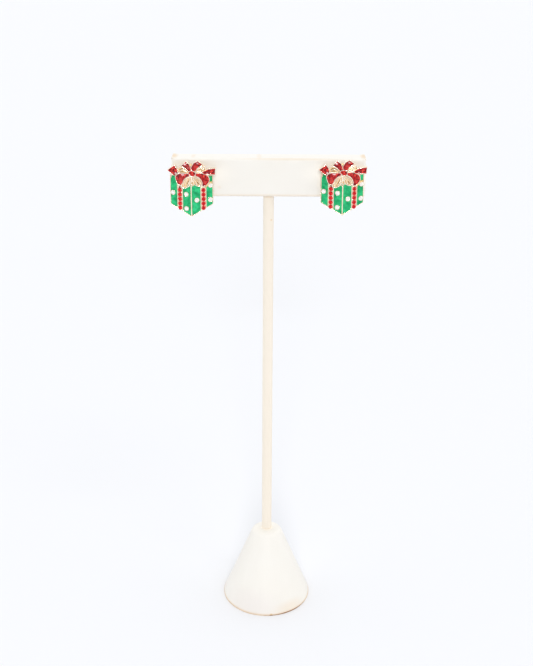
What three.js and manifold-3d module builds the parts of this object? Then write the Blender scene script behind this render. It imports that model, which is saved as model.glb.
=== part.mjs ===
// A pair of gift-box stud earrings on a T-bar earring stand covered in leatherette.
// Millimetres, +Z up, the front towards -Y. The origin is the centre of the base's flat bottom.

import * as THREE from "three";
import { mergeVertices } from "three/addons/utils/BufferGeometryUtils.js";
import { RoundedBoxGeometry } from "three/addons/geometries/RoundedBoxGeometry.js";
import Module from "manifold-3d";

const wasm = await Module();
wasm.setup();

// ---------------------------------------------------------------- driving dimensions: the stand

const BASE = {
  radius: 16.6,
  height: 28.5,
  footRadius: 0.5, // rounding where the wrap turns under
  shoulderRadius: 5.8, // radius of the side where the top rounding starts
  shoulderDrop: 1.4, // height of that rounding
  topFlatRadius: 3.7,
  socketDepth: 9,
  sides: 40,
};
const STEM = { radius: 1.8, socketGap: 0.1, inBar: 5 };
const BAR = { width: 63.5, depth: 7.9, height: 12.7, top: 171.4, edgeRadius: 0.9 };
const BAR_BOTTOM = BAR.top - BAR.height;
const BAR_FRONT = BAR.depth / 2;

// ---------------------------------------------------------------- driving dimensions: the earrings

// Each earring's own frame: x to the right of the box's front ridge, z above the box's lowest tip,
// and depth forward of the casting's back, which lies against the crossbar.
const EARRINGS = [
  { side: "left", x: -25.2, tipBelowBar: 5.8, roll: 0.2 },
  { side: "right", x: 24.08, tipBelowBar: 5.15, roll: -0.45 },
];
const BACK_GAP = 0.15; // between the casting's back and the bar's front

const BOX = {
  halfWidth: 7.02,
  sideFoot: 3.75, // height of the outer lower corners above the tip
  top: 13.5,
  wall: 1.3,
  ridgeDepth: 3.7, // front of the ridge
  edgeDepth: 1.3, // front of the outer edges
};
const FACE_SLOPE = (BOX.ridgeDepth - BOX.edgeDepth) / BOX.halfWidth;
const FACE_TURN = Math.atan(FACE_SLOPE);

const ENAMEL = { recess: 0.4, below: 0.06, gap: 0.04 };

// How far raised metal reaches down under the enamel's floor, and how far a cut runs out past
// the front of what it opens.
const ROOT = 0.2;
const PAST = 1;
const POST = { radius: 0.45, length: 12.2, z: 10.2, rootInset: 0.4, holeRadius: 0.8 };
const CLUTCH = {
  radius: 2.3, // of the flange that lies against the bar
  flange: 0.8,
  waist: 1.5, // radius of the barrel next to the flange
  waistAt: 1.2,
  tail: 1.35, // radius of the barrel at its free end
  length: 3.2,
  bore: 0.5,
  gap: 0.15,
  sides: 20,
};

const STONE = { table: 0.58, crown: 0.26, girdle: 0.1, pavilion: 0.32, sides: 12, clearance: 0.03 };
const RED_RADIUS = 0.72;
const CLEAR_RADIUS = 0.71;
const BEZEL = { radius: 0.86, height: 0.3, seat: 0.12, sides: 16 };

// The two columns of red stones: a raised strip whose seats run into each other.
const COLUMN = {
  count: 5,
  topZ: 8.66,
  pitch: 1.488,
  width: 1.66,
  rise: 0.14,
  aboveFoot: 0.02, // its lower end stays this far above the box's lower edge
  hiddenTop: 10.4, // its upper end, under the bow
};
const COLUMNS = [
  { side: "left", x: -3.74 },
  { side: "right", x: 3.88 },
];

// Clear stones in round bezels on the two faces.
const CLEAR_STONES = [
  { name: "left_outer", x: -6.0, z: 7.7 },
  { name: "left_inner_high", x: -1.56, z: 7.46 },
  { name: "left_inner_low", x: -1.56, z: 2.7 },
  { name: "right_inner", x: 1.7, z: 5.52 },
  { name: "right_outer_high", x: 6.1, z: 10.15 },
  { name: "right_outer_low", x: 6.04, z: 5.38 },
];

// Green enamel panels: each runs between two upright borders, and follows the box's lower edge
// unless it has a bottom of its own. The bow covers their tops.
const PANEL_BORDER = 0.28; // metal left along the lower edge
const PANELS = [
  { name: "left_outer", outer: -6.74, inner: -4.66, top: 13.15 },
  { name: "left_inner", outer: -2.84, inner: -0.22, top: 10.4 },
  { name: "right_inner", outer: 2.96, inner: 0.22, top: 10.6 },
  { name: "right_outer", outer: 6.74, inner: 4.78, top: 10.9 },
  { name: "right_top", outer: 6.74, inner: 5.9, top: 13.1, bottom: 11.15 },
];

// ---------------------------------------------------------------- driving dimensions: the bow

// Each ribbon is a gold rim round a cell of red enamel. near is the front's depth at the knot's
// centre and far its depth at a distance of BOW.reach from it.
const KNOT = { x: 0.24, z: 14.45 };
const BOW = { reach: 7.5, rim: 0.25, cell: 0.45, roundSamples: 16 };
const RIBBONS = [
  {
    name: "left_tail",
    back: 2.6,
    near: 4.4,
    far: 4.3,
    outline: [
      { x: -7.35, z: 15.45 },
      { x: -5.32, z: 13.82 },
      { x: -4.35, z: 14.75 },
      { x: -4.6, z: 16.0 },
      { x: -5.42, z: 16.88 },
    ],
  },
  {
    name: "upper_left",
    back: 2.6,
    near: 4.8,
    far: 4.1,
    outline: [
      { x: -0.8, z: 15.35 },
      { x: -0.3, z: 15.45 },
      { x: -0.45, z: 16.95 },
      { x: -1.05, z: 17.65 },
      { x: -1.78, z: 18.05 },
      { x: -2.8, z: 16.95 },
      { x: -1.8, z: 16.35 },
    ],
  },
  {
    name: "upper_right",
    back: 2.6,
    near: 4.8,
    far: 4.1,
    outline: [
      { x: 0.3, z: 15.62 },
      { x: 1.35, z: 15.42 },
      { x: 2.0, z: 16.4 },
      { x: 3.5, z: 17.42 },
      { x: 2.0, z: 18.3 },
      { x: 1.05, z: 17.7 },
      { x: 0.2, z: 16.5 },
    ],
  },
  {
    name: "right_tail",
    back: 2.6,
    near: 4.4,
    far: 4.3,
    outline: [
      { x: 4.0, z: 14.74 },
      { x: 4.55, z: 14.27 },
      { x: 6.2, z: 14.3 },
      { x: 7.4, z: 14.15 },
      { x: 7.47, z: 15.93 },
      { x: 5.2, z: 15.5 },
    ],
  },
];

// The knot and the two loops that come forward from it hold one run of red enamel.
const FRONT_RIBBONS = [
  {
    name: "knot",
    back: 2,
    near: 5.2,
    far: 5.2,
    outline: [
      { x: -0.78, z: 14.55 },
      { x: 0.45, z: 13.8 },
      { x: 1.25, z: 14.48 },
      { x: 0.8, z: 14.95 },
      { x: -0.12, z: 15.02 },
    ],
  },
  {
    name: "lower_left",
    round: true,
    back: 1.2,
    near: 5,
    far: 3.3,
    outline: [
      { x: -0.85, z: 14.0 },
      { x: -2.1, z: 14.15 },
      { x: -3.67, z: 14.08 },
      { x: -4.8, z: 13.2 },
      { x: -4.8, z: 12.2 },
      { x: -3.78, z: 10.7 },
      { x: -3.12, z: 11.15 },
      { x: -2.6, z: 12.25 },
      { x: -1.45, z: 13.4 },
    ],
  },
  {
    name: "lower_right",
    round: true,
    back: 1.2,
    near: 5,
    far: 3.3,
    outline: [
      { x: 1.45, z: 14.0 },
      { x: 2.3, z: 13.15 },
      { x: 3.45, z: 12.2 },
      { x: 3.9, z: 11.3 },
      { x: 4.1, z: 10.3 },
      { x: 5.45, z: 11.2 },
      { x: 5.75, z: 12.5 },
      { x: 5.2, z: 13.42 },
      { x: 4.05, z: 14.12 },
      { x: 2.6, z: 14.25 },
    ],
  },
];
// Narrow necks by which the enamel of the front loops passes under the knot's rim.
const NECK = { width: 0.34, thickness: 0.3, fall: 0.35 };
const NECKS = [
  { from: { x: -0.4, z: 14.4 }, to: { x: -1.25, z: 13.95 } },
  { from: { x: 0.9, z: 14.4 }, to: { x: 1.9, z: 13.95 } },
];

// Plain gold loops: a plate with a raised rim, a sunk field and a hollow eye with its own rim.
const LOOP = { rim: 0.24, fieldDepth: 0.28, eyeSides: 10, eyeDepth: 0.7 };
const LOOPS = [
  {
    name: "lower_left",
    back: 1.6,
    near: 4.5,
    far: 3.1,
    outline: [
      { x: -0.3, z: 13.7 },
      { x: -1.87, z: 13.0 },
      { x: -2.9, z: 11.6 },
      { x: -3.5, z: 10.3 },
      { x: -2.75, z: 9.4 },
      { x: -1.5, z: 9.6 },
      { x: -0.45, z: 10.6 },
    ],
    eye: { x: -1.35, z: 11.0, long: 1.05, wide: 0.4, turn: 60 },
  },
  {
    name: "lower_right",
    back: 1.6,
    near: 4.5,
    far: 3.1,
    outline: [
      { x: 0.5, z: 13.7 },
      { x: 0.75, z: 11.0 },
      { x: 1.48, z: 10.3 },
      { x: 2.55, z: 10.0 },
      { x: 3.42, z: 10.4 },
      { x: 3.45, z: 11.6 },
      { x: 2.45, z: 12.95 },
    ],
    eye: { x: 2.15, z: 11.1, long: 0.75, wide: 0.48, turn: -35 },
  },
  {
    name: "upper_left",
    back: 2.6,
    near: 4.5,
    far: 3.9,
    outline: [
      { x: -0.6, z: 14.95 },
      { x: -1.9, z: 16.0 },
      { x: -3.2, z: 16.55 },
      { x: -4.2, z: 15.9 },
      { x: -4.25, z: 14.7 },
      { x: -2.6, z: 14.35 },
    ],
    eye: { x: -2.95, z: 15.15, long: 0.85, wide: 0.42, turn: 8 },
  },
  {
    name: "upper_right",
    back: 2.6,
    near: 4.5,
    far: 3.9,
    outline: [
      { x: 1.4, z: 14.95 },
      { x: 2.9, z: 14.4 },
      { x: 4.3, z: 14.9 },
      { x: 4.95, z: 15.9 },
      { x: 4.1, z: 16.8 },
      { x: 2.3, z: 16.3 },
    ],
    eye: { x: 3.2, z: 15.5, long: 0.8, wide: 0.5, turn: 35 },
  },
];

// Plain gold between the two upper ribbons, and the tongue under the knot with its bead.
const GOLD_FILLS = [
  {
    back: 2.6,
    near: 4.3,
    far: 4.1,
    outline: [
      { x: -0.8, z: 14.9 },
      { x: 1.0, z: 14.9 },
      { x: 0.4, z: 16.6 },
      { x: 0.0, z: 17.4 },
      { x: -0.4, z: 16.6 },
    ],
  },
  {
    back: 1.6,
    near: 4.5,
    far: 3.4,
    outline: [
      { x: -0.6, z: 13.6 },
      { x: -0.72, z: 11.2 },
      { x: -0.6, z: 10.1 },
      { x: 0.0, z: 9.7 },
      { x: 0.75, z: 10.2 },
      { x: 0.95, z: 11.2 },
      { x: 0.9, z: 13.6 },
    ],
  },
];
const BEAD = { x: -0.07, z: 10.72, radius: 0.32, depth: 4.05 };
const PRONG = { x: 5.3, z: 10.6, long: 1.1, wide: 0.45, turn: -30, back: 1, front: 2.25 };

// ---------------------------------------------------------------- materials

const material = (name, color, roughness, metalness) =>
  new THREE.MeshStandardMaterial({ name, color, roughness, metalness });

const LEATHERETTE = () => material("leatherette", 0xf8f4ea, 0.55, 0);
const GOLD = () => material("gold plate", 0xf0cf9a, 0.22, 1);
const GREEN_ENAMEL = () => material("green enamel", 0x0f9a42, 0.12, 0);
const RED_ENAMEL = () => material("red enamel", 0xb0101c, 0.12, 0);
const RED_STONE = () => material("red stone", 0xd3101e, 0.05, 0);
const CLEAR_STONE = () => material("clear stone", 0xf4f6fb, 0.03, 0);

// ---------------------------------------------------------------- solids

const WELD = 1e-4; // corners closer than this are one corner

// A closed geometry as a solid that can be joined and cut.
function solidOf(geometry) {
  const bare = geometry.index ? geometry.toNonIndexed() : geometry.clone();
  bare.deleteAttribute("normal");
  bare.deleteAttribute("uv");
  const merged = mergeVertices(bare, WELD);
  return new wasm.Manifold(
    new wasm.Mesh({
      numProp: 3,
      vertProperties: new Float32Array(merged.attributes.position.array),
      triVerts: new Uint32Array(merged.index.array),
    }),
  );
}

// A solid as a named mesh.
function meshOf(name, solid, itsMaterial) {
  const { vertProperties, triVerts } = solid.getMesh();
  const geometry = new THREE.BufferGeometry()
    .setAttribute("position", new THREE.BufferAttribute(vertProperties, 3))
    .setIndex(new THREE.BufferAttribute(triVerts, 1));
  geometry.computeVertexNormals();
  const mesh = new THREE.Mesh(geometry, itsMaterial);
  mesh.name = name;
  return mesh;
}

const joined = (solids) => solids.reduce((all, next) => all.add(next));
const without = (solid, cuts) => cuts.reduce((left, cut) => left.subtract(cut), solid);

// ---------------------------------------------------------------- the stand

// A quarter round of a section, from one angle to another in steps.
const roundedCorner = (centreR, centreZ, radiusR, radiusZ, from, to, steps) =>
  Array.from({ length: steps + 1 }, (_, i) => {
    const a = from + ((to - from) * i) / steps;
    return new THREE.Vector2(centreR + radiusR * Math.cos(a), centreZ + radiusZ * Math.sin(a));
  });

// Turned from its half section: across the bottom, up the side, over the shoulder and down into
// the blind socket.
function baseSolid() {
  const quarter = Math.PI / 2;
  const { radius, footRadius, topFlatRadius, shoulderRadius, shoulderDrop, height } = BASE;
  const socketRadius = STEM.radius + STEM.socketGap;
  const socketFloor = height - BASE.socketDepth;
  const profile = [
    new THREE.Vector2(0, 0),
    ...roundedCorner(radius - footRadius, footRadius, footRadius, footRadius, -quarter, 0, 3),
    ...roundedCorner(
      topFlatRadius,
      height - shoulderDrop,
      shoulderRadius - topFlatRadius,
      shoulderDrop,
      0,
      quarter,
      4,
    ),
    new THREE.Vector2(socketRadius, height),
    new THREE.Vector2(socketRadius, socketFloor),
    new THREE.Vector2(0, socketFloor),
  ];
  return solidOf(new THREE.LatheGeometry(profile, BASE.sides).rotateX(Math.PI / 2));
}

function rod(radius, low, high, sides = 24) {
  const geometry = new THREE.CylinderGeometry(radius, radius, high - low, sides)
    .rotateX(Math.PI / 2)
    .translate(0, 0, (low + high) / 2);
  return solidOf(geometry);
}

// A round rod along Y between two depths, where y is negative towards the front.
function rodAlongY(radius, x, z, yFrom, yTo, sides = 16) {
  const geometry = new THREE.CylinderGeometry(radius, radius, yTo - yFrom, sides)
    .translate(0, (yFrom + yTo) / 2, 0)
    .translate(x, 0, z);
  return solidOf(geometry);
}

// How high an earring's post goes through the bar. The earring is rolled about that post.
const postHeight = ({ tipBelowBar }) => BAR_BOTTOM - tipBelowBar + POST.z;

function barSolid() {
  const block = solidOf(
    new RoundedBoxGeometry(BAR.width, BAR.depth, BAR.height, 2, BAR.edgeRadius).translate(
      0,
      0,
      BAR.top - BAR.height / 2,
    ),
  );
  const through = BAR.depth;
  const holes = EARRINGS.map((one) =>
    rodAlongY(POST.holeRadius, one.x, postHeight(one), -through, through),
  );
  const socket = rod(STEM.radius + STEM.socketGap, BAR_BOTTOM - PAST, BAR_BOTTOM + STEM.inBar);
  return without(block, [...holes, socket]);
}

const stemLow = BASE.height - BASE.socketDepth + STEM.socketGap;
const stemHigh = BAR_BOTTOM + STEM.inBar - STEM.socketGap;

const stand = new THREE.Group();
stand.add(meshOf("base", baseSolid(), LEATHERETTE()));
stand.add(meshOf("stem", rod(STEM.radius, stemLow, stemHigh), LEATHERETTE()));
stand.add(meshOf("crossbar", barSolid(), LEATHERETTE()));

// ---------------------------------------------------------------- outlines and prisms of an earring

const flat = (depth) => () => depth;
const facePlane = (x) => BOX.ridgeDepth - FACE_SLOPE * Math.abs(x);

// The front of a bow piece: a plane that falls away from the knot in the piece's own direction.
function bowPlane({ outline, near, far }) {
  const cx = outline.reduce((sum, p) => sum + p.x, 0) / outline.length - KNOT.x;
  const cz = outline.reduce((sum, p) => sum + p.z, 0) / outline.length - KNOT.z;
  const length = Math.hypot(cx, cz) || 1;
  const fall = (near - far) / BOW.reach;
  return (x, z) => near - (fall * ((x - KNOT.x) * cx + (z - KNOT.z) * cz)) / length;
}

const vectors = (outline) => outline.map(({ x, z }) => new THREE.Vector2(x, z));

// A closed outline turned counter-clockwise.
function outward(points) {
  return THREE.ShapeUtils.isClockWise(points) ? [...points].reverse() : points;
}

// A smooth closed outline through a piece's points.
function rounded(points, samples) {
  const curve = new THREE.CatmullRomCurve3(
    points.map((p) => new THREE.Vector3(p.x, p.y, 0)),
    true,
    "catmullrom",
    0.5,
  );
  return curve
    .getSpacedPoints(samples)
    .slice(0, -1)
    .map((p) => new THREE.Vector2(p.x, p.y));
}

// The outline moved outwards by a distance, or inwards if it is negative.
function grown(points, distance) {
  const ring = outward(points);
  return ring.map((p, i) => {
    const before = ring[(i + ring.length - 1) % ring.length];
    const after = ring[(i + 1) % ring.length];
    const a = p.clone().sub(before).normalize();
    const b = after.clone().sub(p).normalize();
    const normal = new THREE.Vector2(a.y + b.y, -a.x - b.x).normalize();
    const reach = Math.max(0.5, normal.dot(new THREE.Vector2(a.y, -a.x)));
    return p.clone().addScaledVector(normal, distance / reach);
  });
}

// A solid over an outline in the front view, from one depth to another.
function prism(points, backAt, frontAt) {
  const geometry = new THREE.ExtrudeGeometry(new THREE.Shape(outward(points)), {
    depth: 1,
    bevelEnabled: false,
    steps: 1,
  });
  const at = geometry.attributes.position;
  for (let i = 0; i < at.count; i++) {
    const x = at.getX(i);
    const z = at.getY(i);
    const back = backAt(x, z);
    const depth = back + at.getZ(i) * (frontAt(x, z) - back);
    at.setXYZ(i, x, -depth, z);
  }
  return solidOf(geometry);
}

// A piece of the bow's outline as points: round loops are smoothed, ribbons keep their corners.
function outlineOf(piece) {
  const points = vectors(piece.outline);
  return piece.round || piece.eye ? rounded(points, BOW.roundSamples) : points;
}

function ellipse({ x, z, long, wide, turn }, sides, growth = 0) {
  const angle = THREE.MathUtils.degToRad(turn);
  const curve = new THREE.EllipseCurve(x, z, long + growth, wide + growth, 0, 2 * Math.PI, false, angle);
  return curve.getPoints(sides).slice(0, -1);
}

// ---------------------------------------------------------------- the casting's box

const footAt = (x) => (BOX.sideFoot * Math.abs(x)) / BOX.halfWidth;

function panelOutline({ outer, inner, top, bottom }) {
  const foot = (x) => bottom ?? footAt(x) + PANEL_BORDER;
  return [
    { x: outer, z: foot(outer) },
    { x: inner, z: foot(inner) },
    { x: inner, z: top },
    { x: outer, z: top },
  ];
}

// One of the two walls that meet at the ridge. turn is -1 for the left and 1 for the right.
function boxWall(turn) {
  const outline = [
    { x: 0, z: 0 },
    { x: turn * BOX.halfWidth, z: BOX.sideFoot },
    { x: turn * BOX.halfWidth, z: BOX.top },
    { x: 0, z: BOX.top },
  ];
  return prism(vectors(outline), (x) => facePlane(x) - BOX.wall, facePlane);
}

// A turned piece standing square on one of the sloping faces: low and high are measured from
// the face along its own normal.
function onFace(geometry, x, z) {
  const placed = geometry
    .clone()
    .rotateZ(Math.sign(x) * FACE_TURN)
    .translate(x, -facePlane(x), z);
  return solidOf(placed);
}

function facePeg(radius, low, high, x, z, sides) {
  const peg = new THREE.CylinderGeometry(radius, radius, high - low, sides);
  return onFace(peg.translate(0, -(low + high) / 2, 0), x, z);
}

// The raised strip under a column of red stones, cut to the slope of the box's lower edge.
function strip({ x }, growth) {
  const half = COLUMN.width / 2 + growth;
  const outline = [
    { x: x - half, z: footAt(x - half) + COLUMN.aboveFoot - growth },
    { x: x + half, z: footAt(x + half) + COLUMN.aboveFoot - growth },
    { x: x + half, z: COLUMN.hiddenTop + growth },
    { x: x - half, z: COLUMN.hiddenTop + growth },
  ];
  return prism(
    vectors(outline),
    (px) => facePlane(px) - ENAMEL.recess - ROOT,
    (px) => facePlane(px) + COLUMN.rise + growth,
  );
}

// Every stone of an earring: which kind, where it stands, and how far its girdle is off the face.
const STONES = [
  ...COLUMNS.flatMap(({ side, x }) =>
    Array.from({ length: COLUMN.count }, (_, row) => ({
      name: `red_stone_${side}_${row + 1}`,
      colour: RED_STONE,
      radius: RED_RADIUS,
      x,
      z: COLUMN.topZ - row * COLUMN.pitch,
      seat: 0,
    })),
  ),
  ...CLEAR_STONES.map(({ name, x, z }) => ({
    name: `clear_stone_${name}`,
    colour: CLEAR_STONE,
    radius: CLEAR_RADIUS,
    x,
    z,
    seat: BEZEL.seat,
    bezel: true,
  })),
];

const bezels = (growth) =>
  STONES.filter((stone) => stone.bezel).map(({ x, z }) =>
    facePeg(BEZEL.radius + growth, -ENAMEL.recess - ROOT, BEZEL.height + growth, x, z, BEZEL.sides),
  );

const seats = () =>
  STONES.map(({ x, z, seat, radius }) =>
    facePeg(radius + STONE.clearance, seat - STONE.pavilion - STONE.clearance, PAST, x, z, STONE.sides),
  );

// A round stone cut with a flat table, its crown towards the front.
function stoneSolid({ x, z, seat, radius }) {
  const crownTop = STONE.girdle + STONE.crown;
  const profile = [
    new THREE.Vector2(0, -STONE.pavilion),
    new THREE.Vector2(radius, 0),
    new THREE.Vector2(radius, STONE.girdle),
    new THREE.Vector2(radius * STONE.table, crownTop),
    new THREE.Vector2(0, crownTop),
  ];
  const cut = new THREE.LatheGeometry(profile, STONE.sides).rotateX(Math.PI).translate(0, -seat, 0);
  return onFace(cut, x, z);
}

// ---------------------------------------------------------------- the casting's bow

const offset = (depthAt, by) => (x, z) => depthAt(x, z) + by;
const KNOT_FRONT = FRONT_RIBBONS[0].near;
const ABOVE_BOW = flat(KNOT_FRONT + PAST);

// A ribbon's or loop's gold body, with its rim included.
function bowBody(piece, growth) {
  const rim = piece.eye ? 0 : BOW.rim;
  return prism(
    grown(outlineOf(piece), rim + growth),
    flat(piece.back - growth),
    offset(bowPlane(piece), growth ? PAST : 0),
  );
}

const neckFront = (x) => KNOT_FRONT - NECK.fall * Math.abs(x - KNOT.x);

// The necks as cuts, open upwards, or with a gap left all round as the enamel in them.
const necks = (gap) =>
  NECKS.map(({ from, to }) => {
    const along = new THREE.Vector2(to.x - from.x, to.z - from.z).normalize();
    const half = NECK.width / 2 - gap;
    const corners = [
      [from, half],
      [to, half],
      [to, -half],
      [from, -half],
    ].map(([end, by]) => new THREE.Vector2(end.x + along.y * by, end.z - along.x * by));
    return prism(corners, offset(neckFront, gap - NECK.thickness), gap ? neckFront : ABOVE_BOW);
  });

// The cells that the enamel fills, as cuts: narrower is the gap left round the enamel itself.
function cellsOf(pieces, narrower, top) {
  return pieces.map((piece) => {
    const front = bowPlane(piece);
    return prism(
      grown(outlineOf(piece), -narrower),
      offset(front, narrower - BOW.cell),
      offset(front, top),
    );
  });
}

function loopSolid(loop) {
  const front = bowPlane(loop);
  const field = prism(grown(outlineOf(loop), -LOOP.rim), offset(front, -LOOP.fieldDepth), ABOVE_BOW);
  const eyeRim = prism(ellipse(loop.eye, LOOP.eyeSides, LOOP.rim), flat(0), ABOVE_BOW);
  const eye = prism(ellipse(loop.eye, LOOP.eyeSides), offset(front, -LOOP.eyeDepth), ABOVE_BOW);
  return without(bowBody(loop, 0), [field.subtract(eyeRim), eye]);
}

const prong = (growth) =>
  prism(ellipse(PRONG, LOOP.eyeSides, growth), flat(PRONG.back), flat(PRONG.front + growth));

// All the gold that stands over the box's faces, grown by a gap where enamel is cut back from it.
const overlay = (growth) => [
  ...RIBBONS.map((piece) => bowBody(piece, growth)),
  ...FRONT_RIBBONS.map((piece) => bowBody(piece, growth)),
  ...LOOPS.map((piece) => bowBody(piece, growth)),
  ...GOLD_FILLS.map((piece) => prism(grown(vectors(piece.outline), growth), flat(piece.back), ABOVE_BOW)),
  ...bezels(growth),
  ...COLUMNS.map((column) => strip(column, growth)),
  prong(growth),
];

function castingSolid() {
  const walls = [boxWall(-1), boxWall(1)];
  const panels = PANELS.map((panel) =>
    prism(vectors(panelOutline(panel)), offset(facePlane, -ENAMEL.recess), offset(facePlane, PAST)),
  );
  const box = without(joined(walls), panels);
  const bead = solidOf(
    new THREE.SphereGeometry(BEAD.radius, 10, 6).translate(BEAD.x, -BEAD.depth, BEAD.z),
  );
  const postRoot = POST.rootInset - BOX.ridgeDepth;
  const post = rodAlongY(POST.radius, 0, POST.z, postRoot, POST.length, 12);
  const ribbons = [...RIBBONS, ...FRONT_RIBBONS];
  const gold = joined([
    box,
    ...COLUMNS.map((column) => strip(column, 0)),
    ...bezels(0),
    ...GOLD_FILLS.map((fill) => prism(vectors(fill.outline), flat(fill.back), bowPlane(fill))),
    ...LOOPS.map(loopSolid),
    ...ribbons.map((piece) => bowBody(piece, 0)),
    prong(0),
    bead,
    post,
  ]);
  return without(gold, [...seats(), ...cellsOf(ribbons, 0, PAST), ...necks(0)]);
}

// ---------------------------------------------------------------- enamel and clutch

// The largest body, where a cut has left a sliver beside it.
function mainBody(solid) {
  const bodies = solid.decompose();
  return bodies.reduce((largest, next) => (next.volume() > largest.volume() ? next : largest));
}

function greenSolid(panel, over) {
  const fill = prism(
    grown(vectors(panelOutline(panel)), -ENAMEL.gap),
    offset(facePlane, ENAMEL.gap - ENAMEL.recess),
    offset(facePlane, -ENAMEL.below),
  );
  return mainBody(fill.subtract(over));
}

const redSolid = (piece) => cellsOf([piece], ENAMEL.gap, -ENAMEL.below)[0];

function frontRedSolid() {
  return joined([...FRONT_RIBBONS.map(redSolid), ...necks(ENAMEL.gap)]);
}

function clutchSolid() {
  const profile = [
    new THREE.Vector2(CLUTCH.bore, 0),
    new THREE.Vector2(CLUTCH.radius, 0),
    new THREE.Vector2(CLUTCH.radius, CLUTCH.flange),
    new THREE.Vector2(CLUTCH.waist, CLUTCH.waistAt),
    new THREE.Vector2(CLUTCH.tail, CLUTCH.length),
    new THREE.Vector2(CLUTCH.bore, CLUTCH.length),
    new THREE.Vector2(CLUTCH.bore, 0),
  ];
  return solidOf(new THREE.LatheGeometry(profile, CLUTCH.sides));
}

// ---------------------------------------------------------------- the earrings

const casting = castingSolid();
const over = joined(overlay(ENAMEL.gap));
const clutch = clutchSolid();

function earring(one) {
  const { side, x, roll } = one;
  const group = new THREE.Group();
  group.position.set(x, 0, postHeight(one));
  group.rotation.y = THREE.MathUtils.degToRad(roll);

  const front = new THREE.Group();
  front.position.set(0, -(BAR_FRONT + BACK_GAP), -POST.z);
  front.add(meshOf(`${side}_casting`, casting, GOLD()));
  PANELS.forEach((panel) =>
    front.add(meshOf(`${side}_green_${panel.name}`, greenSolid(panel, over), GREEN_ENAMEL())),
  );
  RIBBONS.forEach((ribbon) =>
    front.add(meshOf(`${side}_red_${ribbon.name}`, redSolid(ribbon), RED_ENAMEL())),
  );
  front.add(meshOf(`${side}_red_knot_and_loops`, frontRedSolid(), RED_ENAMEL()));
  STONES.forEach((stone) =>
    front.add(meshOf(`${side}_${stone.name}`, stoneSolid(stone), stone.colour())),
  );

  const nut = meshOf(`${side}_clutch`, clutch, GOLD());
  nut.position.y = BAR_FRONT + CLUTCH.gap;
  group.add(front, nut);
  return group;
}

const object = new THREE.Group();
object.add(stand, ...EARRINGS.map(earring));

export default object;
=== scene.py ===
# Gift-box stud earrings, pinned through the crossbar of a leatherette T-bar earring stand.
# Metres, +Z up, the front towards -Y. The stand is dressed from the floor up, then the earrings.

import math

import bpy
from mathutils import Matrix, Vector


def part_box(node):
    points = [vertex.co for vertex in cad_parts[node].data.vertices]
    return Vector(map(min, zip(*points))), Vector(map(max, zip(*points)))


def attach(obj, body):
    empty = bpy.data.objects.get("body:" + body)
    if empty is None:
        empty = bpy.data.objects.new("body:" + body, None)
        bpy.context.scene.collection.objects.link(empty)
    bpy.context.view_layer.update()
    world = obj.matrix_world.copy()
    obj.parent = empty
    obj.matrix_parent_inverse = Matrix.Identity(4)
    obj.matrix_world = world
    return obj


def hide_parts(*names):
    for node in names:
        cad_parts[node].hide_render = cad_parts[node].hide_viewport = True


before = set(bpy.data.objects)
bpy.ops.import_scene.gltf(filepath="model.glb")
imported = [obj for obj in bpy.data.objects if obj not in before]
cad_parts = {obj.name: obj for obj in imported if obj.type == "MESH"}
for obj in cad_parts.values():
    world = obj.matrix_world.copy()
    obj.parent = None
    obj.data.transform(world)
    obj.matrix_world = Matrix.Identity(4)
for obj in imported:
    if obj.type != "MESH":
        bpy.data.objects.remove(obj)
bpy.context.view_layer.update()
MM = 0.001

# ---------------------------------------------------------------- camera and studio
# The stand seen from the front and a little above, on a pale sweep under large soft lights.
# The camera leans by a fraction of a degree, as a hand-held one does.

CAMERA_PLACE = (-0.00045, -0.3268, 0.2409)
CAMERA_DOWN = math.radians(22.03)
CAMERA_LEAN = math.radians(0.3)
CAMERA_LENS = 54.054
SENSOR_HEIGHT = 36

bpy.ops.object.camera_add(location=CAMERA_PLACE)
camera = bpy.context.object
aim = Matrix.Rotation(math.pi / 2 - CAMERA_DOWN, 3, "X") @ Matrix.Rotation(CAMERA_LEAN, 3, "Z")
camera.rotation_euler = aim.to_euler()
camera.data.lens = CAMERA_LENS
camera.data.sensor_fit = "VERTICAL"
camera.data.sensor_height = SENSOR_HEIGHT
camera.data.clip_start = 0.01
camera.data.clip_end = 100
bpy.context.scene.camera = camera
bpy.context.scene.view_settings.view_transform = "Standard"


def feed(owner, node, inputs):
    """Gives each named input of a node its value, or a link where an output is given."""
    for name, source in inputs.items():
        if isinstance(source, bpy.types.NodeSocket):
            owner.node_tree.links.new(source, node.inputs[name])
        else:
            node.inputs[name].default_value = source


def shading(owner, kind, output, inputs=None, **settings):
    """Adds a node to the shading of the studio or a material, and gives back one of its outputs."""
    node = owner.node_tree.nodes.new("ShaderNode" + kind)
    for name, setting in settings.items():
        setattr(node, name, setting)
    feed(owner, node, inputs or {})
    return node.outputs[output]


# The studio is white behind, beside and above the stand, and much dimmer on the camera's side.
WALL_WHITE = (0.975, 0.985, 1)
studio = bpy.data.worlds.new("studio")
studio.use_nodes = True
direction = shading(studio, "TexCoord", "Generated")
backwards = shading(studio, "SeparateXYZ", "Y", {"Vector": direction})
walls = shading(
    studio,
    "MapRange",
    "Result",
    {"Value": backwards, "From Min": -1, "From Max": 0, "To Min": 0.27, "To Max": 1.17},
    interpolation_type="SMOOTHSTEP",
)
feed(studio, studio.node_tree.nodes["Background"], {"Color": (*WALL_WHITE, 1), "Strength": walls})
bpy.context.scene.world = studio

SUNS = (
    {"name": "window_light", "from": (0.43, -0.55, 0.83), "strength": 0.26, "spread": 20},
    {"name": "front_light", "from": (0, -1, 0.42), "strength": 0.935, "spread": 12},
)
GLINT_LAMPS = (
    {"name": "glint_lamp_left", "place": (-0.085, -0.35, 0.133)},
    {"name": "glint_lamp_low", "place": (-0.16, -0.3, 0.03)},
    {"name": "glint_lamp_right", "place": (0.12, -0.34, 0.3)},
)
GLINT_POWER = 0.05
GLINT_RADIUS = 0.006

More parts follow.
